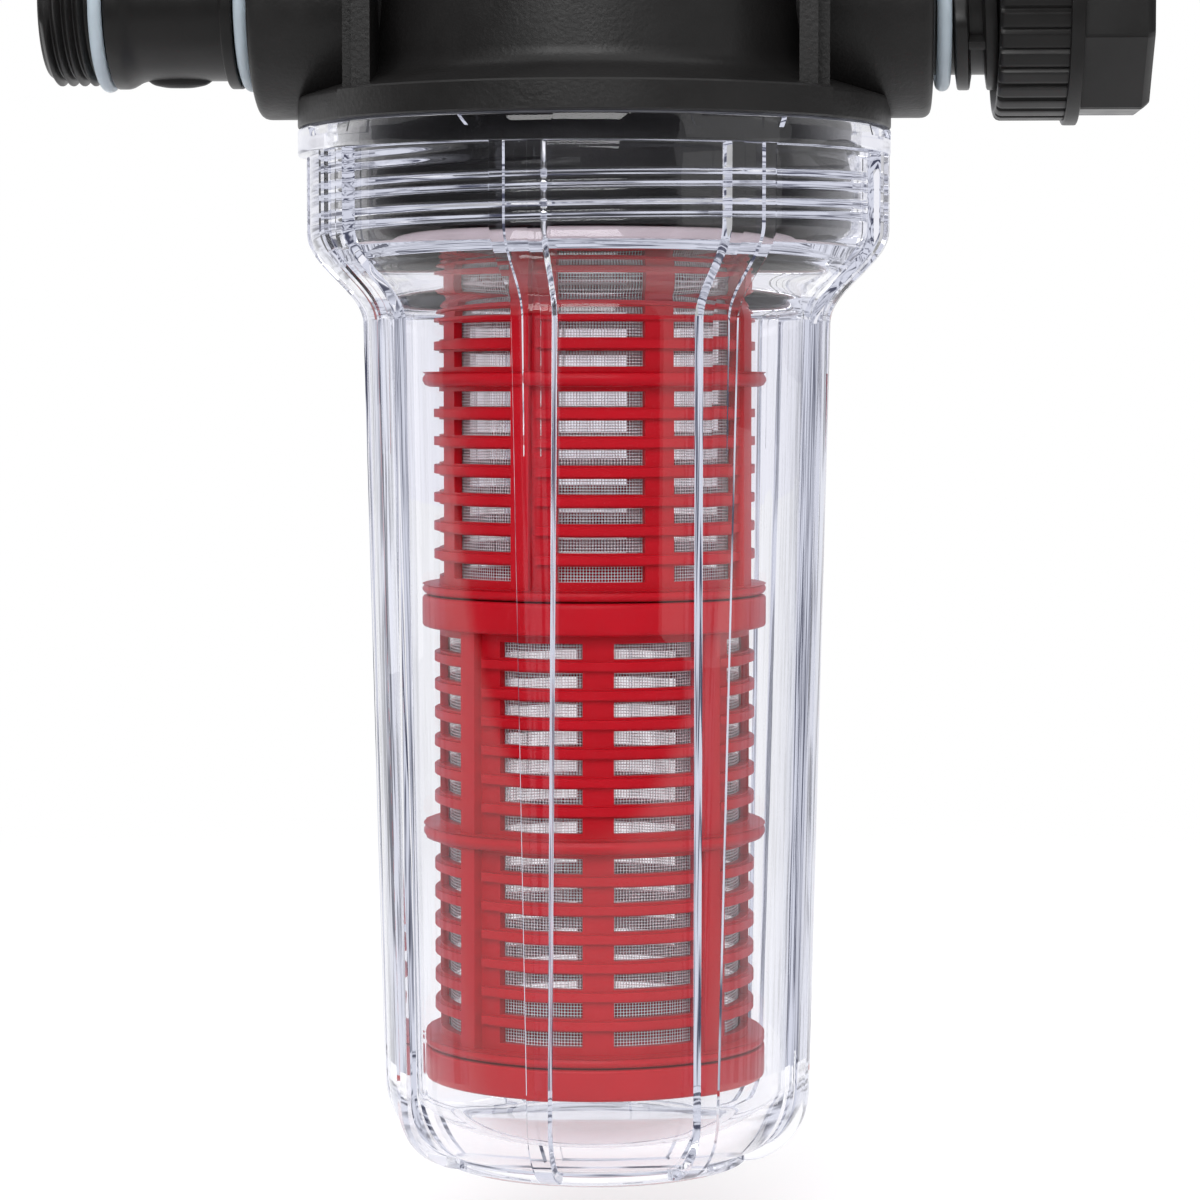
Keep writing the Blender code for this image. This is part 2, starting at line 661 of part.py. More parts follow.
def build_cartridge(red, fabric, rubber):
    for name, bottom, turn in (
        ("upper", UPPER_CAGE_BOTTOM, UPPER_CAGE_TURN),
        ("lower", LOWER_CAGE_BOTTOM, LOWER_CAGE_TURN),
    ):
        build_cage(name + "_cage", bottom, turn, red)
        build_mesh_sleeve(name + "_mesh", bottom, turn, fabric)
    cap_top = CAP_BOTTOM + CAP_HEIGHT
    cap_outline = [
        (0.0, CAP_BOTTOM),
        (COLLAR_RADIUS - GAP, CAP_BOTTOM),
        (COLLAR_RADIUS, CAP_BOTTOM + GAP),
        (COLLAR_RADIUS, cap_top),
        (PLUG_RADIUS, cap_top),
        (PLUG_RADIUS, cap_top + PLUG_HEIGHT),
        (PLUG_BORE, cap_top + PLUG_HEIGHT),
        (PLUG_BORE, CAP_BOTTOM + CAP_FLOOR),
        (0.0, CAP_BOTTOM + CAP_FLOOR),
    ]
    turned("end_cap", cap_outline, red)
    seal_outer = COLLAR_RADIUS - GAP
    seal_inner = seal_outer - CARTRIDGE_SEAL_WIDTH
    seal_bottom = CARTRIDGE_TOP + GAP
    seal_top = seal_bottom + CARTRIDGE_SEAL_THICKNESS
    outline = [
        (seal_inner, seal_bottom),
        (seal_outer, seal_bottom),
        (seal_outer, seal_top),
        (seal_inner, seal_top),
    ]
    turned("cartridge_seal", outline, rubber)


def inlet_places():
    """Distances along the pipe for the inlet nipple's steps, from the head out to its free end."""
    inner_collar_end = -SOCKET_REACH - HEAD_SEAL_CORD - 2 * GAP
    inner_collar_start = inner_collar_end - INLET_INNER_COLLAR
    collar_end = inner_collar_start - INLET_PIPE_LENGTH
    collar_start = collar_end - INLET_COLLAR_LENGTH
    thread_end = collar_start - HOSE_SEAL_CORD - 2 * GAP
    free_end = thread_end - INLET_THREAD_LENGTH
    return inner_collar_end, inner_collar_start, collar_end, collar_start, thread_end, free_end


def build_inlet(black, clear_rubber):
    inner_collar_end, inner_collar_start, collar_end, collar_start, thread_end, free_end = inlet_places()
    groove = INLET_COLLAR_RADIUS - HOSE_SEAL_CORD + GAP
    head_groove = INLET_COLLAR_RADIUS - HEAD_SEAL_CORD + GAP
    spigot_end = -SOCKET_REACH + SOCKET_DEPTH
    outline = [
        (FLOW_RADIUS, free_end),
        (INLET_THREAD_RADIUS - INLET_END_CHAMFER, free_end),
        (INLET_THREAD_RADIUS, free_end + INLET_END_CHAMFER),
        (INLET_THREAD_RADIUS, thread_end),
        (groove, thread_end),
        (groove, collar_start),
        (INLET_COLLAR_RADIUS, collar_start),
        (INLET_COLLAR_RADIUS, collar_end),
        (INLET_PIPE_RADIUS, collar_end + (INLET_COLLAR_RADIUS - INLET_PIPE_RADIUS)),
        (INLET_PIPE_RADIUS, inner_collar_start),
        (INLET_COLLAR_RADIUS, inner_collar_start),
        (INLET_COLLAR_RADIUS, inner_collar_end),
        (head_groove, inner_collar_end),
        (head_groove, -SOCKET_REACH),
        (SPIGOT_RADIUS, -SOCKET_REACH + GAP),
        (SPIGOT_RADIUS, spigot_end),
        (FLOW_RADIUS, spigot_end),
    ]
    nipple = turned("inlet_nipple", outline, black, even_angles(PIPE_STEPS), ALONG_PIPE)
    boss_middle = inner_collar_start - BOSS_FROM_COLLAR
    boss_bottom = PIPE_HEIGHT - INLET_PIPE_RADIUS - BOSS_DEPTH
    boss_root = PIPE_HEIGHT - (FLOW_RADIUS + INLET_PIPE_RADIUS) / 2
    boss_outline = [
        (0.0, boss_root),
        (BOSS_RADIUS / 2, boss_root),
        (BOSS_RADIUS, PIPE_HEIGHT - INLET_PIPE_RADIUS + BOSS_DEPTH),
        (BOSS_RADIUS * 0.7, boss_bottom + BOSS_DEPTH * 0.4),
        (BOSS_RADIUS * 0.35, boss_bottom),
        (0.0, boss_bottom),
    ]
    place = Matrix.Translation((boss_middle, 0.0, 0.0))
    combine(nipple, turned("inlet_boss", boss_outline, black, even_angles(16), place), "UNION")
    seal_ring("inlet_hose_seal", groove + GAP, HOSE_SEAL_CORD, thread_end + GAP + HOSE_SEAL_CORD / 2,
              clear_rubber, ALONG_PIPE)
    seal_ring("inlet_head_seal", head_groove + GAP, HEAD_SEAL_CORD, -SOCKET_REACH - GAP - HEAD_SEAL_CORD / 2,
              clear_rubber, ALONG_PIPE)


def outlet_thread(black):
    """The coarse ridge that winds along the outlet nipple, as one closed strip."""
    steps = int(OUTLET_THREAD_TURNS * THREAD_STEPS)
    start = SOCKET_REACH + OUTLET_THREAD_START
    sunk = OUTLET_ROOT_RADIUS - GAP
    bm = bmesh.new()
    rows = []
    for step in range(steps + 1):
        angle = 360.0 * step / THREAD_STEPS
        middle = start + OUTLET_THREAD_PITCH * step / THREAD_STEPS
        rows.append([
            around(sunk, angle, middle - OUTLET_THREAD_WIDTH / 2),
            around(OUTLET_CREST_RADIUS, angle, middle - OUTLET_CREST_WIDTH / 2),
            around(OUTLET_CREST_RADIUS, angle, middle + OUTLET_CREST_WIDTH / 2),
            around(sunk, angle, middle + OUTLET_THREAD_WIDTH / 2),
        ])
    skin_rows(bm, rows, closed=False)
    bmesh.ops.holes_fill(bm, edges=bm.edges, sides=4)
    return finish("outlet_thread", bm, black, ALONG_PIPE)


def build_outlet(black, clear_rubber, rubber):
    spigot_end = SOCKET_REACH - SOCKET_DEPTH
    outline = [
        (FLOW_RADIUS, spigot_end),
        (SPIGOT_RADIUS, spigot_end),
        (SPIGOT_RADIUS, SOCKET_REACH - GAP),
        (OUTLET_ROOT_RADIUS, SOCKET_REACH),
        (OUTLET_ROOT_RADIUS, OUTLET_END),
        (FLOW_RADIUS, OUTLET_END),
    ]
    nipple = turned("outlet_nipple", outline, black, even_angles(PIPE_STEPS), ALONG_PIPE)
    combine(nipple, outlet_thread(black), "UNION")
    seal_ring("outlet_head_seal", OUTLET_ROOT_RADIUS + GAP, LOOSE_SEAL_CORD,
              SOCKET_REACH + LOOSE_SEAL_PLAY / 3 + LOOSE_SEAL_CORD / 2, clear_rubber, ALONG_PIPE)
    gasket_start = OUTLET_END + GAP
    gasket_end = gasket_start + GASKET_THICKNESS
    gasket_outer = NUT_BORE - GAP
    gasket_outline = [
        (GASKET_BORE, gasket_start),
        (gasket_outer, gasket_start),
        (gasket_outer, gasket_end),
        (GASKET_BORE, gasket_end),
    ]
    turned("union_gasket", gasket_outline, rubber, even_angles(PIPE_STEPS), ALONG_PIPE)


def build_union_nut(black):
    """Fluted grip and collar ring in one turned form, with the octagonal end added and the bore cut."""
    pitch = 360.0 / FLUTE_COUNT
    columns = []
    for number in range(FLUTE_COUNT):
        start = pitch * number
        flute_start = start + pitch * (1 - FLUTE_WIDTH)
        flute_middle = start + pitch * (1 - FLUTE_WIDTH / 2)
        columns += [(start, 0.0), (flute_start, 0.0), (flute_middle, 1.0)]
    ring_start = NUT_LEFT + NUT_GRIP_LENGTH
    ring_end = ring_start + NUT_RING_LENGTH
    outline = [
        (0.0, NUT_LEFT, 0.0),
        (NUT_GRIP_RADIUS - NUT_END_EDGE, NUT_LEFT, 0.0),
        (NUT_GRIP_RADIUS, NUT_LEFT + NUT_END_EDGE, FLUTE_DEPTH),
        (NUT_GRIP_RADIUS, ring_start, FLUTE_DEPTH),
        (NUT_RING_RADIUS, ring_start, 0.0),
        (NUT_RING_RADIUS, ring_end, 0.0),
        (0.0, ring_end, 0.0),
    ]
    rows = [
        [around(radius - flute * depth, angle, height) for angle, flute in columns]
        for radius, height, depth in outline
    ]
    bm = bmesh.new()
    skin_rows(bm, rows, closed=True)
    drop_flat_faces(bm)
    nut = finish("union_nut", bm, black, ALONG_PIPE)
    octagon_angles = [22.5 + 45.0 * number for number in range(8)]
    octagon_outline = [
        (0.0, ring_start + NUT_RING_LENGTH / 2),
        (OCTAGON_RADIUS, ring_start + NUT_RING_LENGTH / 2),
        (OCTAGON_RADIUS, NUT_END - OCTAGON_CHAMFER),
        (OCTAGON_RADIUS - OCTAGON_CHAMFER, NUT_END),
        (0.0, NUT_END),
    ]
    combine(nut, turned("octagon", octagon_outline, black, octagon_angles, ALONG_PIPE), "UNION")
    bore_outline = [
        (0.0, NUT_LEFT - NUT_END_EDGE),
        (NUT_BORE, NUT_LEFT - NUT_END_EDGE),
        (NUT_BORE, NUT_SHOULDER),
        (NUT_PORT_RADIUS, NUT_SHOULDER),
        (NUT_PORT_RADIUS, NUT_END + NUT_END_EDGE),
        (0.0, NUT_END + NUT_END_EDGE),
    ]
    combine(nut, turned("nut_bore", bore_outline, black, even_angles(PIPE_STEPS), ALONG_PIPE), "DIFFERENCE")


def main():
    clear_scene()
    black = plastic("black_plastic", (0.026, 0.025, 0.024), 0.45)
    red = plastic("red_plastic", (0.60, 0.012, 0.018), 0.35)
    clear = plastic("clear_plastic", (0.93, 0.93, 0.97), 0.05, transmission=1.0)
    fabric = plastic("mesh_fabric", (0.75, 0.70, 0.69), 0.8)
    clear_rubber = plastic("clear_rubber", (0.62, 0.70, 0.76), 0.3)
    rubber = plastic("black_rubber", (0.02, 0.02, 0.02), 0.7)
    build_head(black)
    build_bowl(clear)
    build_cartridge(red, fabric, rubber)
    build_inlet(black, clear_rubber)
    build_outlet(black, clear_rubber, rubber)
    build_union_nut(black)
    bowl_seal_bore = NECK_BORE + (NECK_WALL - BOWL_SEAL_CORD) / 2
    seal_ring("bowl_seal", bowl_seal_bore, BOWL_SEAL_CORD, LEDGE_TOP + GAP + BOWL_SEAL_CORD / 2, rubber)


main()
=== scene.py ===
"""Looks of the garden pump prefilter: fine pieces, materials, light and camera.

Sizes are in millimetres and are the same as the solids', unless a comment says metres. Angles
around the bowl are taken from the front (-Y) towards +X. On the pipe line the same turn runs from
the front downwards.
"""

import math
from collections import namedtuple

import bmesh
import bpy
from mathutils import Matrix, Vector


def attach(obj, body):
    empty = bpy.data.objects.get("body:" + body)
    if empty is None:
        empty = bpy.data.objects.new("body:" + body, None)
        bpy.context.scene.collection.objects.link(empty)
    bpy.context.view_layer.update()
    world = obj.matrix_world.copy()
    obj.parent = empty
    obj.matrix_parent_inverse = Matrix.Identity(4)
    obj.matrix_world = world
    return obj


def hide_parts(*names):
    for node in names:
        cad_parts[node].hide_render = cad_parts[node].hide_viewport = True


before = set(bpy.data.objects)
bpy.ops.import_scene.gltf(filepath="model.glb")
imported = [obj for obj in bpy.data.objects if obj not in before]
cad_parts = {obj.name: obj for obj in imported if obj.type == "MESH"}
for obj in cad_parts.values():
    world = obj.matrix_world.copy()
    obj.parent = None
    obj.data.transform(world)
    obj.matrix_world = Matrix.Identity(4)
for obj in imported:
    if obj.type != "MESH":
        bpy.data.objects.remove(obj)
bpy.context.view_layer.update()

MM = 0.001

# Pipe line
PIPE = 236.0
FLOW = 12.6
SOCKET = 23.6
SOCKET_REACH = 68.0
SEAT = 16.6  # the socket's counterbore
NIPPLE = 16.3
NUT_PITCH = 5.9

# Head
FLANGE = 60.0
FLANGE_BOTTOM = 210.0
FLANGE_TOP = 215.9
SHELF_TOP = 219.1
DRUM = 47.0
DRUM_TOP = 271.0
NECK = 52.0
NECK_BORE = 46.5
NECK_BOTTOM = 189.4
CEILING = 210.3

# Bowl
BOWL_TOP = 209.7
RIM = 60.0
RIM_WALL = 57.6
RIM_BOTTOM = 204.6
BOWL_BORE = 54.4
BOWL_PITCH = 5.7
BORE_THREAD = 197.6  # the thread ridge's height at the front
LEDGE_TOP = 186.6
BODY_TOP = 171.0
BODY_FOOT = 15.0
BOWL_FLOOR = 6.4
FOOT = 31.5
RIB_EDGE = 5.7  # degrees from a rib's middle to where the skin's columns keep their places
BOWL_DROP = 20.0  # how far the bowl comes down when it is screwed off

# Cartridge
COLLAR = 35.0
COLLAR_ROUND = 0.7
CAGE_BORE = 29.9
CAGE_HEIGHT = 91.55
UPPER_BOTTOM = 116.35
LOWER_BOTTOM = 24.5
CAP_BOTTOM = 17.9
UPPER_TURN = -25.8
LOWER_TURN = -48.0

STANDING = Matrix.Identity(4)
ALONG_PIPE = Matrix.Translation((0.0, 0.0, PIPE)) @ Matrix.Rotation(math.radians(90), 4, "Y")


# Shapes

def around(radius, degrees, height):
    turn = math.radians(degrees)
    return (radius * math.sin(turn), -radius * math.cos(turn), height)


def even(count):
    return [360.0 * step / count for step in range(count)]


def spread(first, last, steps):
    return [first + (last - first) * step / steps for step in range(steps + 1)]


def fading(place, first, last, length):
    """A share that rises smoothly over a length after the first place and falls before the last."""
    share = max(0.0, min(1.0, (place - first) / length, (last - place) / length))
    return share * share * (3 - 2 * share)


def ring(radius, height, angles):
    return [around(radius, angle, height) for angle in angles]


def grid(rows, closed=False):
    """Faces between rings of points; each ring is closed on itself."""
    count = len(rows[0])
    points = [point for row in rows for point in row]
    faces = []
    for number in range(len(rows) if closed else len(rows) - 1):
        low = number * count
        high = (number + 1) % len(rows) * count
        for step in range(count):
            following = (step + 1) % count
            faces.append((low + step, low + following, high + following, high + step))
    return points, faces


def bar(rows):
    """A grid whose first and last rings are closed by a face each."""
    points, faces = grid(rows)
    width = len(rows[0])
    faces += [tuple(range(width)), tuple(range(len(points) - width, len(points)))]
    return points, faces


def join(*shapes):
    points, faces = [], []
    for more_points, more_faces in shapes:
        shift = len(points)
        points += more_points
        faces += [tuple(index + shift for index in face) for face in more_faces]
    return points, faces


def soften(outline, steps):
    """Round the corners of a closed outline of (radius, height, setback)."""
    points = []
    for index, (radius, height, setback) in enumerate(outline):
        corner = Vector((radius, height))
        if setback == 0:
            points.append((radius, height))
            continue
        before = Vector(outline[index - 1][:2]) - corner
        after = Vector(outline[(index + 1) % len(outline)][:2]) - corner
        start = corner + before.normalized() * min(setback, before.length * 0.45)
        end = corner + after.normalized() * min(setback, after.length * 0.45)
        for step in range(steps + 1):
            share = step / steps
            point = start * (1 - share) ** 2 + corner * (2 * share * (1 - share)) + end * share**2
            points.append((point.x, point.y))
    return points


def turned(outline, columns, steps=4):
    """A closed outline of (radius, height, setback), turned around the axis."""
    angles = even(columns)
    return grid([ring(radius, height, angles) for radius, height in soften(outline, steps)], True)


def washer(radii, levels, setbacks, columns):
    """A flat ring, with the setbacks of its inner and outer corners."""
    (inner, outer), (bottom, top), (inside, outside) = radii, levels, setbacks
    return turned([
        (inner, bottom, inside), (outer, bottom, outside),
        (outer, top, outside), (inner, top, inside),
    ], columns)


def torus(radius, cord, centre, columns=120, steps=28):
    rows = []
    for step in range(steps):
        turn = 2 * math.pi * step / steps
        away, up = cord / 2 * math.cos(turn), cord / 2 * math.sin(turn)
        rows.append(ring(radius + away, centre + up, even(columns)))
    return grid(rows, True)


def two_flanks(flank):
    """A thread's cross-section of (radius, offset), from its lower flank and the crest."""
    return flank + [(radius, -offset) for radius, offset in reversed(flank) if offset]


def ridge(profile, root, first, last, middle, pitch, fade, step):
    """A thread ridge with cross-section (radius, offset) between two angles.

    What stands out of the root fades into it at both ends, and what lies within it doesn't change.
    """
    rows = []
    for angle in spread(first, last, int((last - first) / step)):
        share = fading(angle, first, last, fade)
        height = middle + pitch * angle / 360
        row = []
        for radius, offset in profile:
            if radius > root:
                radius = root + (radius - root) * share
            row.append(around(radius, angle, height + offset))
        rows.append(row)
    return bar(rows)


def arc(centre, radii, start, end, steps):
    (radius, height), (across, up) = centre, radii
    turns = [math.radians(angle) for angle in spread(start, end, steps)]
    return [(radius + across * math.cos(turn), height + up * math.sin(turn)) for turn in turns]


def swing(top_radius, bottom_radius, top, bottom, steps):
    """An S-shaped shoulder between two walls."""
    points = []
    for step in range(steps + 1):
        share = step / steps
        weight = (1 + math.cos(math.pi * share)) / 2
        radius = bottom_radius + (top_radius - bottom_radius) * weight
        points.append((radius, top + (bottom - top) * share))
    return points


def make(name, shape, matrix=STANDING, sharp=40.0):
    """Turn points and faces into an object with clean, outward faces."""
    points, faces = shape
    mesh = bpy.data.meshes.new(name)
    mesh.from_pydata([(matrix @ Vector(point)) * MM for point in points], [], faces)
    bm = bmesh.new()
    bm.from_mesh(mesh)
    bmesh.ops.remove_doubles(bm, verts=bm.verts, dist=2e-8)
    bmesh.ops.dissolve_degenerate(bm, edges=bm.edges, dist=1e-8)
    bmesh.ops.delete(bm, geom=[edge for edge in bm.edges if edge.is_wire], context="EDGES")
    bmesh.ops.recalc_face_normals(bm, faces=bm.faces)
    bm.to_mesh(mesh)
    bm.free()
    mesh.shade_smooth()
    mesh.set_sharp_from_angle(angle=math.radians(sharp))
    item = bpy.data.objects.new(name, mesh)
    bpy.context.collection.objects.link(item)
    return item


def combine(item, shape, operation, matrix=STANDING):
    """Add or cut a shape for good."""
    other = make("working_shape", shape, matrix)
    modifier = item.modifiers.new("step", "BOOLEAN")
    modifier.operation = operation
    modifier.solver = "EXACT"
    modifier.object = other
    bpy.context.view_layer.update()
    evaluated = item.evaluated_get(bpy.context.evaluated_depsgraph_get())
    result = bpy.data.meshes.new_from_object(evaluated)
    item.modifiers.clear()
    item.data = result
    bpy.data.objects.remove(other, do_unlink=True)


def dress(item, material, slot, body, *nodes, sharp=None):
    item.data.materials.clear()
    item.data.materials.append(material)
    if sharp:
        item.data.shade_smooth()
        item.data.set_sharp_from_angle(angle=math.radians(sharp))
    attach(item, body)
    if nodes:
        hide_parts(*nodes)


# Materials

WHITE = (1.0, 1.0, 1.0, 1.0)


class Nodes:
    """A node tree with short calls for adding nodes and links."""

    def __init__(self, tree):
        self.tree = tree

    def node(self, kind, values=None, **settings):
        node = self.tree.nodes.new("ShaderNode" + kind)
        for key, value in settings.items():
            setattr(node, key, value)
        for key, value in (values or {}).items():
            self.put(value, node.inputs[key])
        return node

    def put(self, value, socket):
        if hasattr(value, "is_output"):
            self.tree.links.new(value, socket)
        else:
            socket.default_value = value

    def math(self, operation, *values):
        return self.node("Math", dict(enumerate(values)), operation=operation).outputs[0]

    def above(self, value, limit):
        return self.math("GREATER_THAN", value, limit)

    def noise(self, scale, detail=2.0, coordinates=None):
        place = coordinates or self.node("TexCoord").outputs["Object"]
        values = {"Vector": place, "Scale": scale, "Detail": detail}
        return self.node("TexNoise", values).outputs["Fac"]

    def span(self, value, low, high, start=0.3, end=0.7, shape="LINEAR"):
        values = {0: value, 1: start, 2: end, 3: low, 4: high}
        return self.node("MapRange", values, interpolation_type=shape).outputs[0]

    def blend(self, share, first, second):
        node = self.node("Mix", data_type="RGBA")
        self.put(share, node.inputs["Factor"])
        self.put(first, node.inputs["A"])
        self.put(second, node.inputs["B"])
        return node.outputs["Result"]

    def mix(self, share, first, second):
        return self.node("MixShader", {0: share, 1: first, 2: second}).outputs[0]

    def light(self, kind, strength, colour=WHITE):
        return self.node(kind, {"Color": colour, "Strength": strength}).outputs[0]


class Shader(Nodes):
    """A new material with its main shader and its output."""

    def __init__(self, name):
        self.material = bpy.data.materials.new(name)
        self.material.use_nodes = True
        super().__init__(self.material.node_tree)
        self.base = self.tree.nodes["Principled BSDF"]

    def bump(self, height, strength, distance):
        values = {"Height": height, "Strength": strength, "Distance": distance * MM}
        return self.node("Bump", values).outputs[0]

    def set(self, **values):
        for key, value in values.items():
            self.put(value, self.base.inputs[key.replace("_", " ")])

    def show(self, surface):
        self.put(surface, self.tree.nodes["Material Output"].inputs["Surface"])


def moulded(name, dark, light, roughness, grain, height, specular):
    """Moulded plastic: uneven colour and gloss with a fine grain."""
    shader = Shader(name)
    clouds = shader.span(shader.noise(scale=45.0, detail=4.0), 0.0, 1.0)
    gloss = shader.noise(scale=160.0, detail=3.0)
    shader.set(
        Base_Color=shader.blend(clouds, (*dark, 1.0), (*light, 1.0)),
        Roughness=shader.span(gloss, roughness - 0.05, roughness + 0.07),
        Specular_IOR_Level=specular,
        Normal=shader.bump(shader.noise(grain, detail=3.0), strength=0.45, distance=height),
    )
    return shader.material


def clear_plastic():
    """Clear moulded plastic with a faint blue-violet cast and very slight flow waves.

    Light that bounces in the wall for too long, or that runs a long way inside the wall of the
    bowl's body, is replaced by painted light and shade. These are dark and pale grey-violet streaks
    that the material gives off itself as an emission, where the renderer would draw black lines or
    noise. They stand in for the light and shade that the room would show there. The painted streaks
    run down the body, and around the rim and the foot. Shadow and diffuse rays pass straight
    through.
    """
    shader = Shader("clear_plastic_detail")
    shader.set(
        Base_Color=(0.965, 0.965, 0.985, 1.0),
        Roughness=0.0,
        Transmission_Weight=1.0,
        IOR=1.54,
        Normal=shader.bump(shader.noise(scale=38.0), strength=0.12, distance=0.25),
    )
    place = shader.node("TexCoord").outputs["Object"]
    height = shader.node("SeparateXYZ", {0: place}).outputs["Z"]
    body_middle, body_half = 96.0 * MM, 76.0 * MM
    on_body = shader.math("COMPARE", height, body_middle, body_half)

    along_ring, down_body = (0.06, 0.06, 1.0, 1.0), (1.0, 1.0, 0.02, 1.0)
    stretch = shader.blend(on_body, along_ring, down_body)
    stretched = shader.node("VectorMath", {0: place, 1: stretch}, operation="MULTIPLY").outputs[0]
    streaks = shader.noise(scale=1100.0, detail=1.0, coordinates=stretched)
    # Painted light and shade: the dark and pale tones of the streaks that the wall gives off as an
    # emission
    shadow, shine = (0.07, 0.075, 0.12, 1.0), (0.68, 0.70, 0.81, 1.0)
    sharpened = shader.span(streaks, 0.0, 1.0, start=0.38, end=0.52)
    painted_streaks = shader.blend(sharpened, shadow, shine)
    painted_wall_light = shader.light("Emission", 1.0, painted_streaks)

    ray = shader.node("LightPath").outputs
    long_way, most_bounces, most_reflections = 3.6 * MM, 5.5, 1.5
    from_inside = shader.node("NewGeometry").outputs["Backfacing"]
    deep = shader.math("MULTIPLY", shader.above(ray["Ray Length"], long_way), from_inside)
    in_wall = shader.math("MULTIPLY", on_body, deep)
    limit = shader.math("SUBTRACT", most_reflections, in_wall)
    late = shader.math(
        "MAXIMUM",
        shader.above(ray["Ray Depth"], most_bounces),
        shader.above(ray["Glossy Depth"], limit),
    )
    clear = shader.node("BsdfTransparent", {"Color": (0.93, 0.93, 0.96, 1.0)}).outputs[0]
    soft = shader.math("MAXIMUM", ray["Is Shadow Ray"], ray["Is Diffuse Ray"])
    shader.show(shader.mix(soft, shader.mix(late, shader.base.outputs[0], painted_wall_light), clear))
    return shader.material


def soft_clear(name, colour, transmission, roughness):
    """Translucent rubber: partly clear, with a dusty, slightly uneven skin."""
    shader = Shader(name)
    clouds = shader.span(shader.noise(scale=180.0, detail=3.0), 0.0, 1.0)
    pale = tuple(min(1.0, channel * 1.12) for channel in colour)
    shader.set(
        Base_Color=shader.blend(clouds, (*colour, 1.0), (*pale, 1.0)),
        Roughness=shader.span(shader.noise(scale=500.0), roughness, roughness + 0.15),
        Normal=shader.bump(shader.noise(scale=1500.0), strength=0.2, distance=0.03),
        Transmission_Weight=transmission,
        IOR=1.42,
    )
    return shader.material


def woven_mesh():
    """A fine woven sleeve: threads both ways around the cylinder, with open spaces between them."""
    shader = Shader("mesh_fabric_detail")
    place = shader.node("TexCoord").outputs["Object"]
    parts = shader.node("SeparateXYZ", {0: place}).outputs
    angle = shader.math("ARCTAN2", parts["X"], parts["Y"])
    pitch, radius = 0.60 * MM, 29.4 * MM
    threads_around = round(2 * math.pi * radius / pitch)
    threads = []
    for value, rate in ((angle, threads_around / 2), (parts["Z"], math.pi / pitch)):
        wave = shader.math("SINE", shader.math("MULTIPLY", value, rate))
        threads.append(shader.math("MULTIPLY", wave, wave))
    opening = shader.math("MULTIPLY", *threads)
    cover = shader.span(opening, low=0.93, high=0.0, start=0.0, end=0.10)
    uneven = shader.noise(scale=900.0, detail=1.0)
    tone = shader.span(uneven, 0.0, 1.0)
    shader.set(
        Base_Color=shader.blend(tone, (0.90, 0.84, 0.85, 1.0), (0.97, 0.95, 0.95, 1.0)),
        Roughness=shader.span(uneven, 0.5, 0.75),
        Alpha=cover,
    )
    return shader.material


black_plastic = moulded(
    "black_plastic_detail", dark=(0.0085, 0.008, 0.008), light=(0.015, 0.0142, 0.0142),
    roughness=0.40, grain=1150.0, height=0.15, specular=0.34,
)
smooth_black = moulded(
    "smooth_black_detail", dark=(0.0075, 0.0072, 0.0072), light=(0.012, 0.0115, 0.0115),
    roughness=0.34, grain=1300.0, height=0.03, specular=0.3,
)
red_plastic = moulded(
    "red_plastic_detail", dark=(0.46, 0.002, 0.009), light=(0.53, 0.004, 0.013),
    roughness=0.34, grain=1500.0, height=0.015, specular=0.16,
)
dark_rubber = moulded(
    "black_rubber_detail", dark=(0.016, 0.016, 0.016), light=(0.026, 0.026, 0.026),
    roughness=0.62, grain=2200.0, height=0.03, specular=0.4,
)
clear_material = clear_plastic()
ring_material = soft_clear(
    "clear_rubber_detail", colour=(0.60, 0.69, 0.76), transmission=0.45, roughness=0.28,
)
seal_material = soft_clear(
    "bowl_seal_detail", colour=(0.56, 0.47, 0.49), transmission=0.25, roughness=0.35,
)
fabric = woven_mesh()


# Head

def flange_plate():
    """The front frame's foot, a little proud of the flange."""
    under, over, edge = FLANGE_BOTTOM + 0.2, FLANGE_TOP + 0.2, FLANGE + 0.8
    section = ((NECK, under), (FLANGE + 0.5, under), (edge, under + 0.3), (edge, FLANGE_TOP - 0.2),
               (FLANGE + 0.4, over), (NECK, over))
    return bar([
        [around(radius, angle, height) for radius, height in section]
        for angle in spread(-52.0, 52.0, 52)
    ])


def frame_upright(side, middle, width, setback):
    """One of the front frame's uprights: a flat outline of (depth, height), drawn out sideways."""
    foot, bend, top = 213.0, 247.0, 258.5
    front = -math.sqrt(FLANGE**2 - (middle + width / 2) ** 2) + setback
    slope_end, back = front + 14.0, front + 21.0
    outline = ((front, foot), (front, bend), (slope_end, top), (back, top), (back, foot))
    return bar([
        [(place, depth, height) for depth, height in outline]
        for place in sorted((side * (middle - width / 2), side * (middle + width / 2)))
    ])


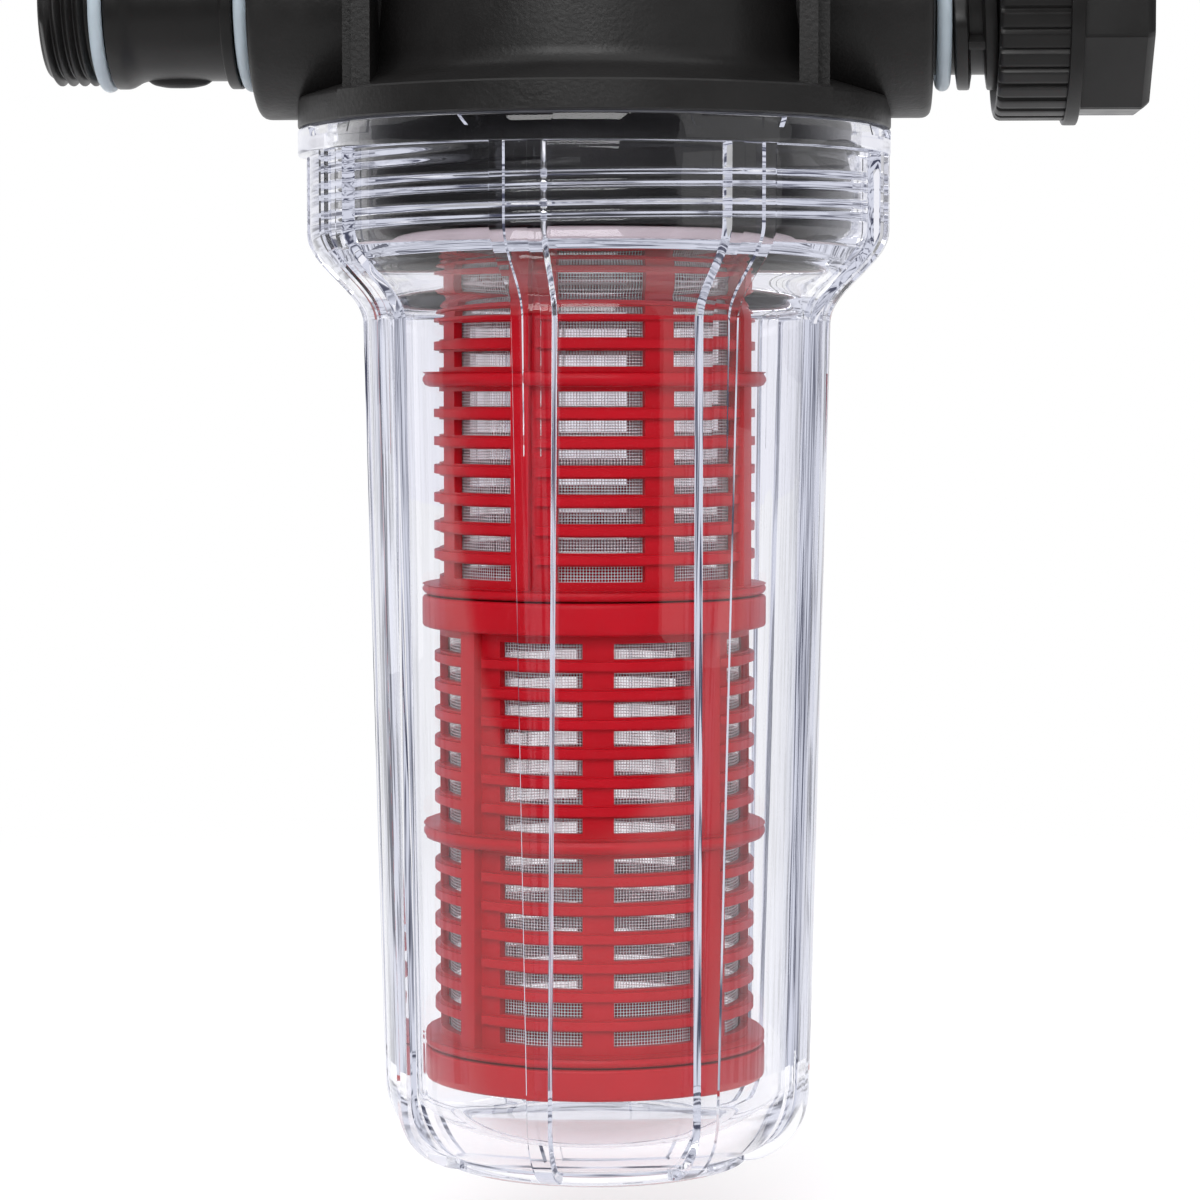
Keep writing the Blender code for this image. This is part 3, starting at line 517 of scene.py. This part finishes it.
def build_head():
    outlet_duct, duct_top = 14.0, PIPE + 1.7
    recess, recess_top = 29.0, CEILING + 5.0
    head = make("head_shell", turned([
        (NECK_BORE, NECK_BOTTOM, 0.5), (NECK, NECK_BOTTOM, 0.9), (NECK, FLANGE_BOTTOM, 0.6),
        (FLANGE, FLANGE_BOTTOM, 0.7), (FLANGE, FLANGE_TOP, 0.7), (DRUM, SHELF_TOP + 1.0, 3.4),
        (DRUM, DRUM_TOP, 7.0), (0.0, DRUM_TOP + 1.0, 0), (0.0, duct_top, 0),
        (outlet_duct, duct_top, 1.0), (outlet_duct, recess_top, 0.5), (recess, recess_top, 0.4),
        (recess, CEILING, 0.5), (NECK_BORE, CEILING, 0.8),
    ], 144, 5))
    for side in (-1, 1):
        start, end = side * DRUM / 2, side * SOCKET_REACH
        socket = [(0.0, start, 0), (SOCKET, start, 0), (SOCKET, end, 2.2), (0.0, end, 0)]
        combine(head, turned(socket, 96, 6), "UNION", ALONG_PIPE)
    combine(head, flange_plate(), "UNION")
    for side in (-1, 1):
        for middle, width, setback in ((43.2, 3.6, 0.8), (46.1, 2.4, 3.0)):
            combine(head, frame_upright(side, middle, width, setback), "UNION")
    for side, inner in ((-1, -40.0), (1, 0.0)):
        seat, outside = side * 54.7, side * (SOCKET_REACH + 1.6)
        bore = [(0.0, inner, 0), (FLOW, inner, 0), (FLOW, seat, 0), (SEAT, seat, 0),
                (SEAT, outside, 0), (0.0, outside, 0)]
        combine(head, turned(bore, 96), "DIFFERENCE", ALONG_PIPE)
    section = ((37.0, 210.0), (43.0, 210.0), (43.0, 237.7), (37.0, 237.7))
    inlet_duct = bar([
        [around(radius, angle, height) for radius, height in section]
        for angle in spread(-118.0, -62.0, 16)
    ])
    combine(head, inlet_duct, "DIFFERENCE")
    dress(head, black_plastic, "black_plastic", "housing", "head_body", sharp=35)

    profile = two_flanks([(51.7, -1.6), (52.1, -1.5), (53.2, -1.05), (53.75, -0.7), (53.8, 0.0)])
    thread = make("neck_thread", ridge(
        profile, NECK,
        first=-240.0, last=360.0, middle=194.75, pitch=BOWL_PITCH, fade=16.0, step=3.0,
    ))
    dress(thread, smooth_black, "black_plastic", "housing")


# Bowl

Column = namedtuple("Column", "middle angle rib channel notch slant")


def bowl_columns():
    """The columns of the bowl's skin, in eight equal sectors with a rib in each.

    A column has its rib's middle and its angle from there, its shares of the rib, of the channel
    down the rib's face and of the notch in the rim, and the slant of the notch's end.
    """
    half_rib = [(-5.6, 0.0, 0.0), (-5.35, 0.2, 0.0), (-5.1, 0.8, 0.0), (-4.8, 1.0, 0.0),
                (-3.6, 1.0, 0.0), (-2.3, 1.0, 0.0), (-2.05, 1.0, 1.0), (-0.7, 1.0, 1.0)]
    whole_rib = half_rib + [(-angle, rib, channel) for angle, rib, channel in reversed(half_rib)]
    sector = [(-22.5 + 1.7 * step, 0.0, 0.0, 0.0, 0.0) for step in range(7)]
    sector += [(-11.0, 0.0, 0.0, 0.0, 1.4), (-10.8, 0.0, 0.0, 1.0, 1.4)]
    sector += [(angle, 0.0, 0.0, 1.0, 0.0) for angle in (-9.0, -7.6, -6.4)]
    sector += [(*column, 1.0, 0.0) for column in whole_rib]
    sector += [(6.2, 0.0, 0.0, 1.0, 0.0), (6.9, 0.0, 0.0, 1.0, -0.7), (7.1, 0.0, 0.0, 0.0, -0.7)]
    sector += [(8.6 + 1.75 * step, 0.0, 0.0, 0.0, 0.0) for step in range(8)]
    return [Column(-11.5 + 45.0 * number, *column) for number in range(8) for column in sector]


def rib_scale(height):
    """Ribs keep their width down to the body and then narrow towards the foot."""
    return 1.0 - 0.43 * min(1.0, max(0.0, (BODY_TOP - height) / (BODY_TOP - BODY_FOOT)))


def bowl_row(columns, height, spot):
    """A row of the skin; spot gives a column's radius and level."""
    row = []
    for column in columns:
        turn = column.angle * (rib_scale(height) if abs(column.angle) < RIB_EDGE else 1.0)
        radius, level = spot(column)
        row.append(around(radius, column.middle + turn, level))
    return row


def bowl_outside(rim, body_top, body_foot, underside):
    """Down the outside, from under the rim band to the foot ring."""
    line = [(rim, 204.2), (rim, 198.0)]
    line += swing(rim, body_top, NECK_BOTTOM, BODY_TOP, 20)
    for step in range(1, 6):
        share = step / 6
        radius = body_top + (body_foot - body_top) * share
        line.append((radius, BODY_TOP + (BODY_FOOT - BODY_TOP) * share))
    line += arc((FOOT, BODY_FOOT), (body_foot - FOOT, BODY_FOOT - underside), 0, -90, 14)
    return line


def bowl_foot(columns):
    """Rows from the middle of the underside out to the foot ring."""
    spots = [(0.0, 1.8), (9.0, 1.8), (18.0, 1.8), (27.0, 1.8), (27.4, 1.6), (27.5, 1.2),
             (27.5, 0.5), (27.65, 0.15), (28.0, 0.0), (31.0, 0.0), (31.35, 0.15), (31.5, 0.5)]
    return [bowl_row(columns, 0.0, lambda column: spot) for spot in spots]


def bowl_sides(columns):
    """Rows from the foot up to the rim band, between the line of the ribs and that of the wall."""
    rib_line = bowl_outside(RIM, body_top=48.2, body_foot=44.6, underside=0.8)
    wall_line = bowl_outside(RIM_WALL, body_top=45.8, body_foot=42.2, underside=3.0)
    rows = []
    for (rib, rib_level), (wall, wall_level) in zip(reversed(rib_line), reversed(wall_line)):
        channel_depth = 0.8 * min(1.0, max(0.0, (rib_level - 166.0) / 12.0))
        rows.append(bowl_row(columns, rib_level, lambda column: (
            wall + (rib - wall) * column.rib - channel_depth * column.channel,
            wall_level + (rib_level - wall_level) * column.rib,
        )))
    return rows


def bowl_rim(columns):
    """Rows over the rim band, its slanted notches and the top, and into the bore."""
    rows = []
    for rounding, channel_depth, height in ((0.1, 0.8, RIM_BOTTOM - 0.15), (0.4, 0.5, RIM_BOTTOM)):
        wall = RIM_WALL + rounding
        rows.append(bowl_row(columns, height, lambda column: (
            wall + (RIM - wall) * column.rib - channel_depth * column.channel, height,
        )))
    band = ((RIM - 0.35, RIM_BOTTOM), (RIM - 0.1, RIM_BOTTOM + 0.1), (RIM, 205.0), (RIM, 206.3))
    rows += [bowl_row(columns, height, lambda column: (radius, height)) for radius, height in band]

    notch_depth, notch_bottom = 1.2, 207.6
    rows.append([
        around(RIM, column.middle + column.angle + column.slant, notch_bottom) for column in columns
    ])
    for setback, height, lean in ((0.0, notch_bottom + 0.05, 1.0), (0.0, BOWL_TOP - 0.3, 0.0),
                                  (0.1, BOWL_TOP - 0.1, 0.0), (0.35, BOWL_TOP, 0.0)):
        rows.append([
            around(RIM - setback - notch_depth * column.notch,
                   column.middle + column.angle + column.slant * lean, height)
            for column in columns
        ])
    return rows


def threaded_bore(angles, top, bottom):
    """The bowl's threaded bore: rows that climb with the thread, cut level at both ends."""
    flank = [(0.0, 1.6), (0.4, 1.6), (0.75, 1.35), (1.45, 0.45), (1.75, 0.12), (2.0, 0.0)]
    rows_per_turn = 22
    thread_start, thread_end, fade = -520.0, 343.0, 26.0

    def depth(offset):
        away = abs(offset)
        for (low, first), (high, second) in zip(flank, flank[1:]):
            if low <= away <= high:
                return first + (second - first) * (away - low) / (high - low)
        return 0.0

    step = BOWL_PITCH / rows_per_turn
    middle = BORE_THREAD + BOWL_PITCH * angles[0] / 360
    low_row = int((bottom - middle - BOWL_PITCH) / step) - 1
    high_row = int((top - middle) / step) + 2
    points, faces, index = [], [], {}

    def point(column, row):
        angle = angles[column] - angles[0]
        height = min(top, max(bottom, middle + BOWL_PITCH * angle / 360 + row * step))
        key = (column, round(height, 5))
        if key not in index:
            offset = (row * step + BOWL_PITCH / 2) % BOWL_PITCH - BOWL_PITCH / 2
            turn = (height - offset - BORE_THREAD) / BOWL_PITCH * 360.0
            share = fading(turn, thread_start, thread_end, fade)
            index[key] = len(points)
            points.append(around(BOWL_BORE - depth(offset) * share, angles[column], height))
        return index[key]

    for column in range(len(angles)):
        following, climb = column + 1, 0
        if following == len(angles):
            following, climb = 0, rows_per_turn
        for row in range(low_row, high_row):
            corners = [point(column, row), point(following, row + climb),
                       point(following, row + 1 + climb), point(column, row + 1)]
            before = corners[-1:] + corners
            face = [corner for corner, last in zip(corners, before) if corner != last]
            if len(set(face)) == len(face) >= 3:
                faces.append(tuple(face))
    return points, faces


def build_bowl():
    columns = bowl_columns()
    angles = [column.middle + column.angle for column in columns]
    bore_top, bore_bottom = BOWL_TOP - 0.3, LEDGE_TOP + 0.4
    outside = bowl_foot(columns) + bowl_sides(columns) + bowl_rim(columns)
    outside += [ring(BOWL_BORE + 0.3, BOWL_TOP, angles), ring(BOWL_BORE, bore_top, angles)]

    line = [(BOWL_BORE, bore_bottom), (BOWL_BORE - 0.12, LEDGE_TOP + 0.12)]
    line += [(BOWL_BORE - 0.4, LEDGE_TOP), (49.0, LEDGE_TOP), (48.4, LEDGE_TOP - 0.25)]
    line += swing(48.2, 42.8, LEDGE_TOP - 0.8, 177.0, 18)
    line += [(42.6, 169.4), (41.7, 131.0), (40.8, 93.0), (39.9, 55.0)]
    line += arc((28.3, BOWL_FLOOR + 10.7), (10.7, 10.7), 0, -90, 14)
    line += [(18.0, BOWL_FLOOR), (9.0, BOWL_FLOOR), (0.0, BOWL_FLOOR)]
    inside = [ring(radius, height, angles) for radius, height in line]

    bore = threaded_bore(angles, bore_top, bore_bottom)
    bowl = make("bowl_shell", join(grid(outside), bore, grid(inside)), sharp=32)
    dress(bowl, clear_material, "clear_plastic", "screw_bowl", "bowl")
    seal = make("bowl_seal_ring", washer((48.2, 51.6), (186.75, 189.25), (0.7, 0.9), 180))
    dress(seal, seal_material, "clear_rubber", "bowl_seal_ring", "bowl_seal")


# Cartridge

# A cage is made of cells: sectors around, rows upwards, and layers from the bore outwards.
CAGE_RADII = [26.0, 28.3, 29.0, CAGE_BORE, 31.6, 32.7, 33.5, COLLAR]
CAGE_LAYERS = ["plug", "clearance", "ledge", "wall", "slat", "rib", "collar"]
CAGE_SECTORS = (("rib", 6.8, 4), ("slit", 1.9, 1), ("strip", 6.7, 3), ("window", 31.4, 12),
                ("bar", 11.0, 4), ("window", 32.2, 12))


def cage_columns(turn):
    """(angle, kind) of each column; the sectors come four times around."""
    columns = []
    for quarter in range(4):
        angle = turn + 90.0 * quarter
        for kind, width, count in CAGE_SECTORS:
            for step in range(count):
                columns.append((angle + width * step / count, kind))
            angle += width
    return columns


def rounded_rows(kind, height, rounding):
    """Rows of a ring whose outer edges are rounded."""
    cuts = (0.0, 0.03, 0.09, 0.2, 0.8, 0.91, 0.97, 1.0)
    if height <= 3.0:
        cuts = (0.0, 0.12, 0.4, 0.6, 0.88, 1.0)
    rows = []
    for cut, following in zip(cuts, cuts[1:]):
        near = min(1.0, min(cut, 1.0 - cut) * height / rounding)
        radius = COLLAR - rounding * (1 - math.sqrt(1 - (1 - near) ** 2))
        rows.append(((following - cut) * height, kind, radius))
    return rows


def cage_rows():
    """(height, kind, outer radius) of each row from the foot up."""
    flange, ring_height, collar, plug = 2.0, 3.0, 6.4, 4.5
    windows, window, band, near_ring = 7, 3.1, 2.63, 0.95
    slat_bottom, slat = 0.45, 1.7
    half = (CAGE_HEIGHT - flange - collar - ring_height) / 2
    near_end = half - windows * window - (windows - 1) * band - near_ring

    section = [(near_end, "band", COLLAR)]
    for number in range(windows):
        section.append((window, "window", COLLAR))
        if number < windows - 1:
            section += [(slat_bottom, "band", COLLAR), (slat, "slat", COLLAR),
                        (band - slat_bottom - slat, "band", COLLAR)]
    section.append((near_ring, "band", COLLAR))
    rows = rounded_rows("flange", flange, 1.0) + section
    rows += rounded_rows("ring", ring_height, 1.5) + section[::-1]
    rows += rounded_rows("collar", collar, COLLAR_ROUND)
    return rows + [(plug, "plug", COLLAR - COLLAR_ROUND)]


def cage_cell(column, row, layer):
    """Whether the cell is filled."""
    if row == "plug":
        return layer == "plug"
    if row == "collar":
        return True
    if row == "flange":
        return layer not in ("plug", "clearance")
    if row == "ring":
        return layer in ("wall", "slat", "rib", "collar")
    if column == "rib":
        return layer in ("wall", "slat", "rib")
    if layer == "wall":
        return row != "window" or column != "window"
    return layer == "slat" and row == "slat" and column != "slit"


def build_cage(name, bottom, turn, node):
    columns = cage_columns(turn)
    rows = cage_rows()
    levels = [0.0]
    for height, _, _ in rows:
        levels.append(levels[-1] + height)
    outer = [row[2] for row in rows] + [COLLAR - COLLAR_ROUND]
    count = len(columns)
    filled = {
        (column, row, layer)
        for column in range(count)
        for row in range(len(rows))
        for layer, kind in enumerate(CAGE_LAYERS)
        if cage_cell(columns[column][1], rows[row][1], kind)
    }
    points, faces, index = [], [], {}

    def point(column, row, layer):
        key = (column % count, row, layer)
        if key not in index:
            radius = outer[row] if layer == len(CAGE_LAYERS) else CAGE_RADII[layer]
            index[key] = len(points)
            points.append(around(radius, columns[key[0]][0], bottom + levels[row]))
        return index[key]

    # The step to each neighbour, and the corners of the face towards it
    sides = [
        ((1, 0, 0), ((1, 0, 0), (1, 1, 0), (1, 1, 1), (1, 0, 1))),
        ((-1, 0, 0), ((0, 0, 0), (0, 0, 1), (0, 1, 1), (0, 1, 0))),
        ((0, 1, 0), ((0, 1, 0), (0, 1, 1), (1, 1, 1), (1, 1, 0))),
        ((0, -1, 0), ((0, 0, 0), (1, 0, 0), (1, 0, 1), (0, 0, 1))),
        ((0, 0, 1), ((0, 0, 1), (1, 0, 1), (1, 1, 1), (0, 1, 1))),
        ((0, 0, -1), ((0, 0, 0), (0, 1, 0), (1, 1, 0), (1, 0, 0))),
    ]
    for column, row, layer in sorted(filled):
        for step, corners in sides:
            neighbour = ((column + step[0]) % count, row + step[1], layer + step[2])
            if neighbour not in filled:
                faces.append(tuple(point(column + c, row + r, layer + d) for c, r, d in corners))
    cage = make(name, (points, faces))
    dress(cage, red_plastic, "red_plastic", "housing", node)


def build_sleeve(name, bottom, node):
    sleeve = make(name, washer((29.5, 29.6), (bottom + 2.3, bottom + 84.85), (0, 0), 160))
    dress(sleeve, fabric, "mesh_fabric", "housing", node)


def build_cartridge():
    build_cage("upper_cage_fine", UPPER_BOTTOM, UPPER_TURN, "upper_cage")
    build_cage("lower_cage_fine", LOWER_BOTTOM, LOWER_TURN, "lower_cage")
    build_sleeve("upper_sleeve", UPPER_BOTTOM, "upper_mesh")
    build_sleeve("lower_sleeve", LOWER_BOTTOM, "lower_mesh")
    underside, floor_top = CAP_BOTTOM + 0.6, CAP_BOTTOM + 2.2
    rim_top, spigot_top = CAP_BOTTOM + 6.3, CAP_BOTTOM + 10.8
    cap = make("end_cap_fine", turned([
        (0.0, underside, 0), (24.0, underside, 0.5), (25.0, CAP_BOTTOM, 0.5),
        (COLLAR, CAP_BOTTOM, 0.9), (COLLAR, rim_top, 0.6), (28.3, rim_top, 0.3),
        (28.3, spigot_top, 0.5), (26.0, spigot_top, 0.5), (26.0, floor_top, 0.8),
        (0.0, floor_top, 0),
    ], 160))
    dress(cap, red_plastic, "red_plastic", "housing", "end_cap")
    seal = make("cartridge_seal_fine", washer((29.9, 34.7), (208.2, 210.0), (0.4, 0.4), 128))
    dress(seal, dark_rubber, "black_rubber", "housing", "cartridge_seal")


# Pipe fittings

def lens_boss():
    """The oval boss under the inlet nipple."""
    place = ALONG_PIPE.inverted() @ Matrix.Translation((-84.5, 0.0, 0.0))
    top, bottom = 222.0, 218.9
    points, faces = turned([
        (0.0, top, 0), (7.4, top, 0), (8.0, 221.6, 0.4), (5.6, 219.5, 1.0), (2.6, bottom, 1.0),
        (0.0, bottom, 0),
    ], 64)
    flattening = 0.35
    return [tuple(place @ Vector((x, flattening * y, z))) for x, y, z in points], faces


def build_inlet():
    end, thread_foot, inner_end = -111.0, -100.8, -55.0
    root, neck, grip, groove = 15.25, 15.7, 17.3, 14.6
    body = turned([
        (FLOW, end, 0.3), (root - 0.6, end, 0.3), (root, -110.2, 0.3), (root, thread_foot, 0.2),
        (14.8, thread_foot, 0.2), (14.8, -97.4, 0.2), (grip, -97.4, 0.5), (grip, -94.6, 0.9),
        (neck, -91.9, 1.2), (neck, -74.0, 0.5), (grip, -74.0, 0.4), (grip, -71.6, 0.4),
        (groove, -71.6, 0.2), (groove, -68.3, 0.2), (NIPPLE, -67.7, 0.2), (NIPPLE, inner_end, 0.5),
        (FLOW, inner_end, 0.4),
    ], 128)
    profile = two_flanks([(15.0, -1.1), (root + 0.05, -1.02), (16.45, -0.28), (16.6, -0.12)])
    thread = ridge(
        profile, root, first=0.0, last=1390.0, middle=-109.6, pitch=2.309, fade=40.0, step=5.0,
    )
    nipple = make("inlet_nipple_fine", join(body, thread, lens_boss()), ALONG_PIPE)
    dress(nipple, smooth_black, "black_plastic", "housing", "inlet_nipple")
    hose_ring = make("inlet_hose_ring", torus(16.5, 2.8, -99.1), ALONG_PIPE)
    dress(hose_ring, ring_material, "clear_rubber", "housing", "inlet_hose_seal")
    head_ring = make("inlet_head_ring", torus(16.4, 3.0, -69.8), ALONG_PIPE)
    dress(head_ring, ring_material, "clear_rubber", "housing", "inlet_head_seal")


def build_outlet():
    inner_end, end, root = 55.0, 98.0, 15.0
    body = turned([
        (FLOW, inner_end, 0.4), (NIPPLE, inner_end, 0.5), (NIPPLE, 67.7, 0.2), (root, 68.0, 0.3),
        (root, end, 0.5), (FLOW, end, 0.4),
    ], 128)
    profile = two_flanks([(14.7, -1.7), (15.05, -1.65), (17.6, -1.3), (18.0, -1.1), (18.1, -0.7)])
    thread = ridge(
        profile, root, first=0.0, last=1296.0, middle=73.0, pitch=NUT_PITCH, fade=24.0, step=4.0,
    )
    section = ((14.7, 33.0), (17.3, 34.0), (17.5, 37.0), (17.3, 40.0), (14.7, 41.0))
    bridge = bar([
        [around(radius, angle, height) for radius, angle in section] for height in (73.9, 79.5)
    ])
    nipple = make("outlet_nipple_fine", join(body, thread, bridge), ALONG_PIPE)
    dress(nipple, smooth_black, "black_plastic", "housing", "outlet_nipple")
    lean = Matrix.Translation((0.0, 0.0, 69.95)) @ Matrix.Rotation(math.radians(-1.1), 4, "Y")
    loose = make("outlet_head_ring", torus(16.8, 3.0, 0.0), ALONG_PIPE @ lean)
    dress(loose, ring_material, "clear_rubber", "housing", "outlet_head_seal")
    disc = washer((12.8, 18.4), (98.3, 100.3), (0.3, 0.3), 96)
    gasket = make("union_gasket_fine", disc, ALONG_PIPE)
    dress(gasket, dark_rubber, "black_rubber", "gasket_disc", "union_gasket")


def octagon(angle, radius, rounding):
    """The radius of an octagon with slightly blunt corners, at an angle."""
    corner = (angle % 45.0) - 22.5
    flat = radius * math.cos(math.radians(22.5)) / math.cos(math.radians(22.5 - abs(corner)))
    return min(flat, radius - rounding * max(0.0, 1.0 - abs(corner) / 2.5))


def build_nut():
    """Grip with narrow grooves, a collar ring and an octagonal end, as one skin of rings."""
    grooves, per_groove = 36, 12
    angles = even(grooves * per_groove)
    groove_shape = {0: 1.0, 1: 0.72, per_groove - 1: 0.72, 2: 0.1, per_groove - 2: 0.1}
    groove = [groove_shape.get(step % per_groove, 0.0) for step in range(len(angles))]

    face, end, gasket_seat = 80.6, 111.0, 100.6
    mouth = ((18.7, gasket_seat), (18.7, 86.0), (19.0, 85.2), (21.4, 83.4), (21.9, 82.6),
             (22.1, 81.0), (22.4, face))
    grip = ((23.0, face, 0.0), (23.6, 80.8, 0.3), (24.0, 81.2, 0.6), (24.2, 81.8, 0.8),
            (24.2, 88.0, 0.8), (24.2, 94.4, 0.8))
    collar = ((24.9, 94.4), (25.15, 94.55), (25.2, 94.9), (25.2, 96.7), (25.15, 97.05),
              (24.9, 97.2))
    octagonal = ((97.2, 0.0), (109.4, 0.0), (109.8, 0.25), (110.5, 0.9), (end, 1.5))
    hole = ((16.0, end), (15.6, end - 0.15), (15.4, end - 0.5), (15.4, gasket_seat))

    rows = [ring(radius, height, angles) for radius, height in mouth]
    for radius, height, depth in grip:
        rows.append([
            around(radius - depth * share, angle, height) for angle, share in zip(angles, groove)
        ])
    rows += [ring(radius, height, angles) for radius, height in collar]
    for height, shrink in octagonal:
        rows.append([
            around(octagon(angle, 24.5, 0.22) - shrink, angle, height) for angle in angles
        ])
    rows += [ring(radius, height, angles) for radius, height in hole]

    profile = two_flanks([(19.0, -1.5), (18.72, -1.4), (18.45, -0.9), (18.4, 0.0)])
    thread = ridge(
        profile, root=19.0, first=0.0, last=900.0, middle=82.9, pitch=NUT_PITCH, fade=1.0, step=4.5,
    )
    nut = make("union_nut_fine", join(grid(rows, True), thread), ALONG_PIPE, 30)
    dress(nut, smooth_black, "black_plastic", "nut", "union_nut")


# Surroundings

def build_floor():
    """A pale floor, low enough for the bowl to come down to it when it is screwed off.

    The camera sees it white far off. In gloss and through the bowl its front part is dark.
    """
    half = 4.0
    corners = [(-half, -half, 0), (half, -half, 0), (half, half, 0), (-half, half, 0)]
    mesh = bpy.data.meshes.new("floor")
    mesh.from_pydata(corners, [], [(0, 1, 2, 3)])
    floor = bpy.data.objects.new("floor", mesh)
    floor.location.z = -(BOWL_DROP + 0.5) * MM
    bpy.context.collection.objects.link(floor)

    # Distances are in metres
    shader = Shader("floor_pale")
    place = shader.node("TexCoord").outputs["Object"]
    distance = shader.node("VectorMath", {0: place}, operation="LENGTH").outputs["Value"]
    forward = shader.node("SeparateXYZ", {0: place}).outputs["Y"]
    far = shader.span(distance, 0.0, 1.0, start=0.22, end=0.75, shape="SMOOTHSTEP")
    edge = shader.span(forward, 0.0, 1.0, start=-0.60, end=-0.50, shape="SMOOTHSTEP")
    back = shader.span(forward, 0.0, 1.0, start=-0.14, end=-0.03, shape="SMOOTHSTEP")
    diffuse = shader.node("BsdfDiffuse", {"Color": (0.74, 0.74, 0.75, 1.0)}).outputs[0]
    glow = shader.light("Emission", 0.30)
    white = shader.light("Emission", 1.0)
    dark = shader.light("Emission", 0.01)
    dim = shader.light("Emission", 0.55)
    near = shader.node("AddShader", {0: diffuse, 1: glow}).outputs[0]
    seen = shader.mix(far, near, white)
    mirrored = shader.mix(back, shader.mix(edge, dark, dim), seen)
    ray = shader.node("LightPath").outputs
    other = shader.mix(ray["Is Diffuse Ray"], mirrored, diffuse)
    shader.show(shader.mix(ray["Is Camera Ray"], other, seen))
    mesh.materials.append(shader.material)


def build_world():
    """Even fill light in a white room.

    Seen in gloss and through the bowl, the room is dark in front. In gloss it is greyer beside too.
    """
    world = bpy.data.worlds.new("studio")
    world.use_nodes = True
    world.node_tree.nodes.clear()
    nodes = Nodes(world.node_tree)
    parts = nodes.node("SeparateXYZ", {0: nodes.node("TexCoord").outputs["Generated"]}).outputs
    sideways, backwards = nodes.math("ABSOLUTE", parts["X"]), parts["Y"]
    beside = nodes.span(sideways, 1.0, 0.55, start=0.35, end=0.75, shape="SMOOTHSTEP")
    behind = nodes.span(backwards, 0.01, 1.0, start=-0.05, end=0.5, shape="SMOOTHSTEP")
    gloss = nodes.math("MULTIPLY", beside, behind)
    behind_bowl = nodes.span(backwards, 0.004, 1.0, start=-0.05, end=0.5)
    mirrored = nodes.light("Background", gloss, (0.97, 0.97, 1.0, 1.0))
    through = nodes.light("Background", behind_bowl, (0.95, 0.95, 1.0, 1.0))
    ray = nodes.node("LightPath").outputs
    room = nodes.light("Background", 0.55)
    room = nodes.mix(ray["Is Glossy Ray"], room, mirrored)
    room = nodes.mix(ray["Is Transmission Ray"], room, through)
    room = nodes.mix(ray["Is Camera Ray"], room, nodes.light("Background", 1.0))
    nodes.node("OutputWorld", {"Surface": room})
    bpy.context.scene.world = world


# Name, place, height that it points at, size and radiance of each, in metres
SOFTBOXES = (
    ("right_softbox", (0.86, -0.52, 0.34), 0.12, (0.85, 1.3), 0.5),
    ("left_softbox", (-1.0, 0.34, 0.45), 0.12, (0.5, 1.1), 1.0),
    ("top_softbox", (0.0, -0.35, 1.25), 0.1, (1.4, 1.2), 1.0),
    ("front_softbox", (-0.2, -1.35, 0.95), 0.13, (1.2, 0.8), 5.0),
    ("back_softbox", (0.5, 1.2, 1.1), 0.13, (1.0, 0.8), 2.4),
)


def build_softbox(name, place, target, size, radiance):
    light = bpy.data.lights.new(name, "AREA")
    light.shape = "RECTANGLE"
    light.size, light.size_y = size
    light.energy = radiance * math.pi * size[0] * size[1]
    item = bpy.data.objects.new(name, light)
    item.location = place
    aim = Vector((0.0, 0.0, target)) - Vector(place)
    item.rotation_euler = aim.to_track_quat("-Z", "Y").to_euler()
    bpy.context.collection.objects.link(item)


def build_camera():
    """The photo's camera, a little to the right of the front. Its place is in metres."""
    camera = bpy.data.cameras.new("camera")
    camera.lens = 111.72
    camera.sensor_width = 36.0
    distance, height, side = 0.760, 0.1611, math.radians(3.0)
    tilt, turn = math.radians(86.5), math.radians(2.915)
    item = bpy.data.objects.new("camera", camera)
    item.location = (distance * math.sin(side), -distance * math.cos(side), height)
    item.rotation_euler = (tilt, 0.0, turn)
    bpy.context.collection.objects.link(item)
    bpy.context.scene.camera = item


build_head()
build_bowl()
build_cartridge()
build_inlet()
build_outlet()
build_nut()
build_floor()
build_world()
for softbox in SOFTBOXES:
    build_softbox(*softbox)
build_camera()
bpy.context.scene.view_settings.view_transform = "Standard"
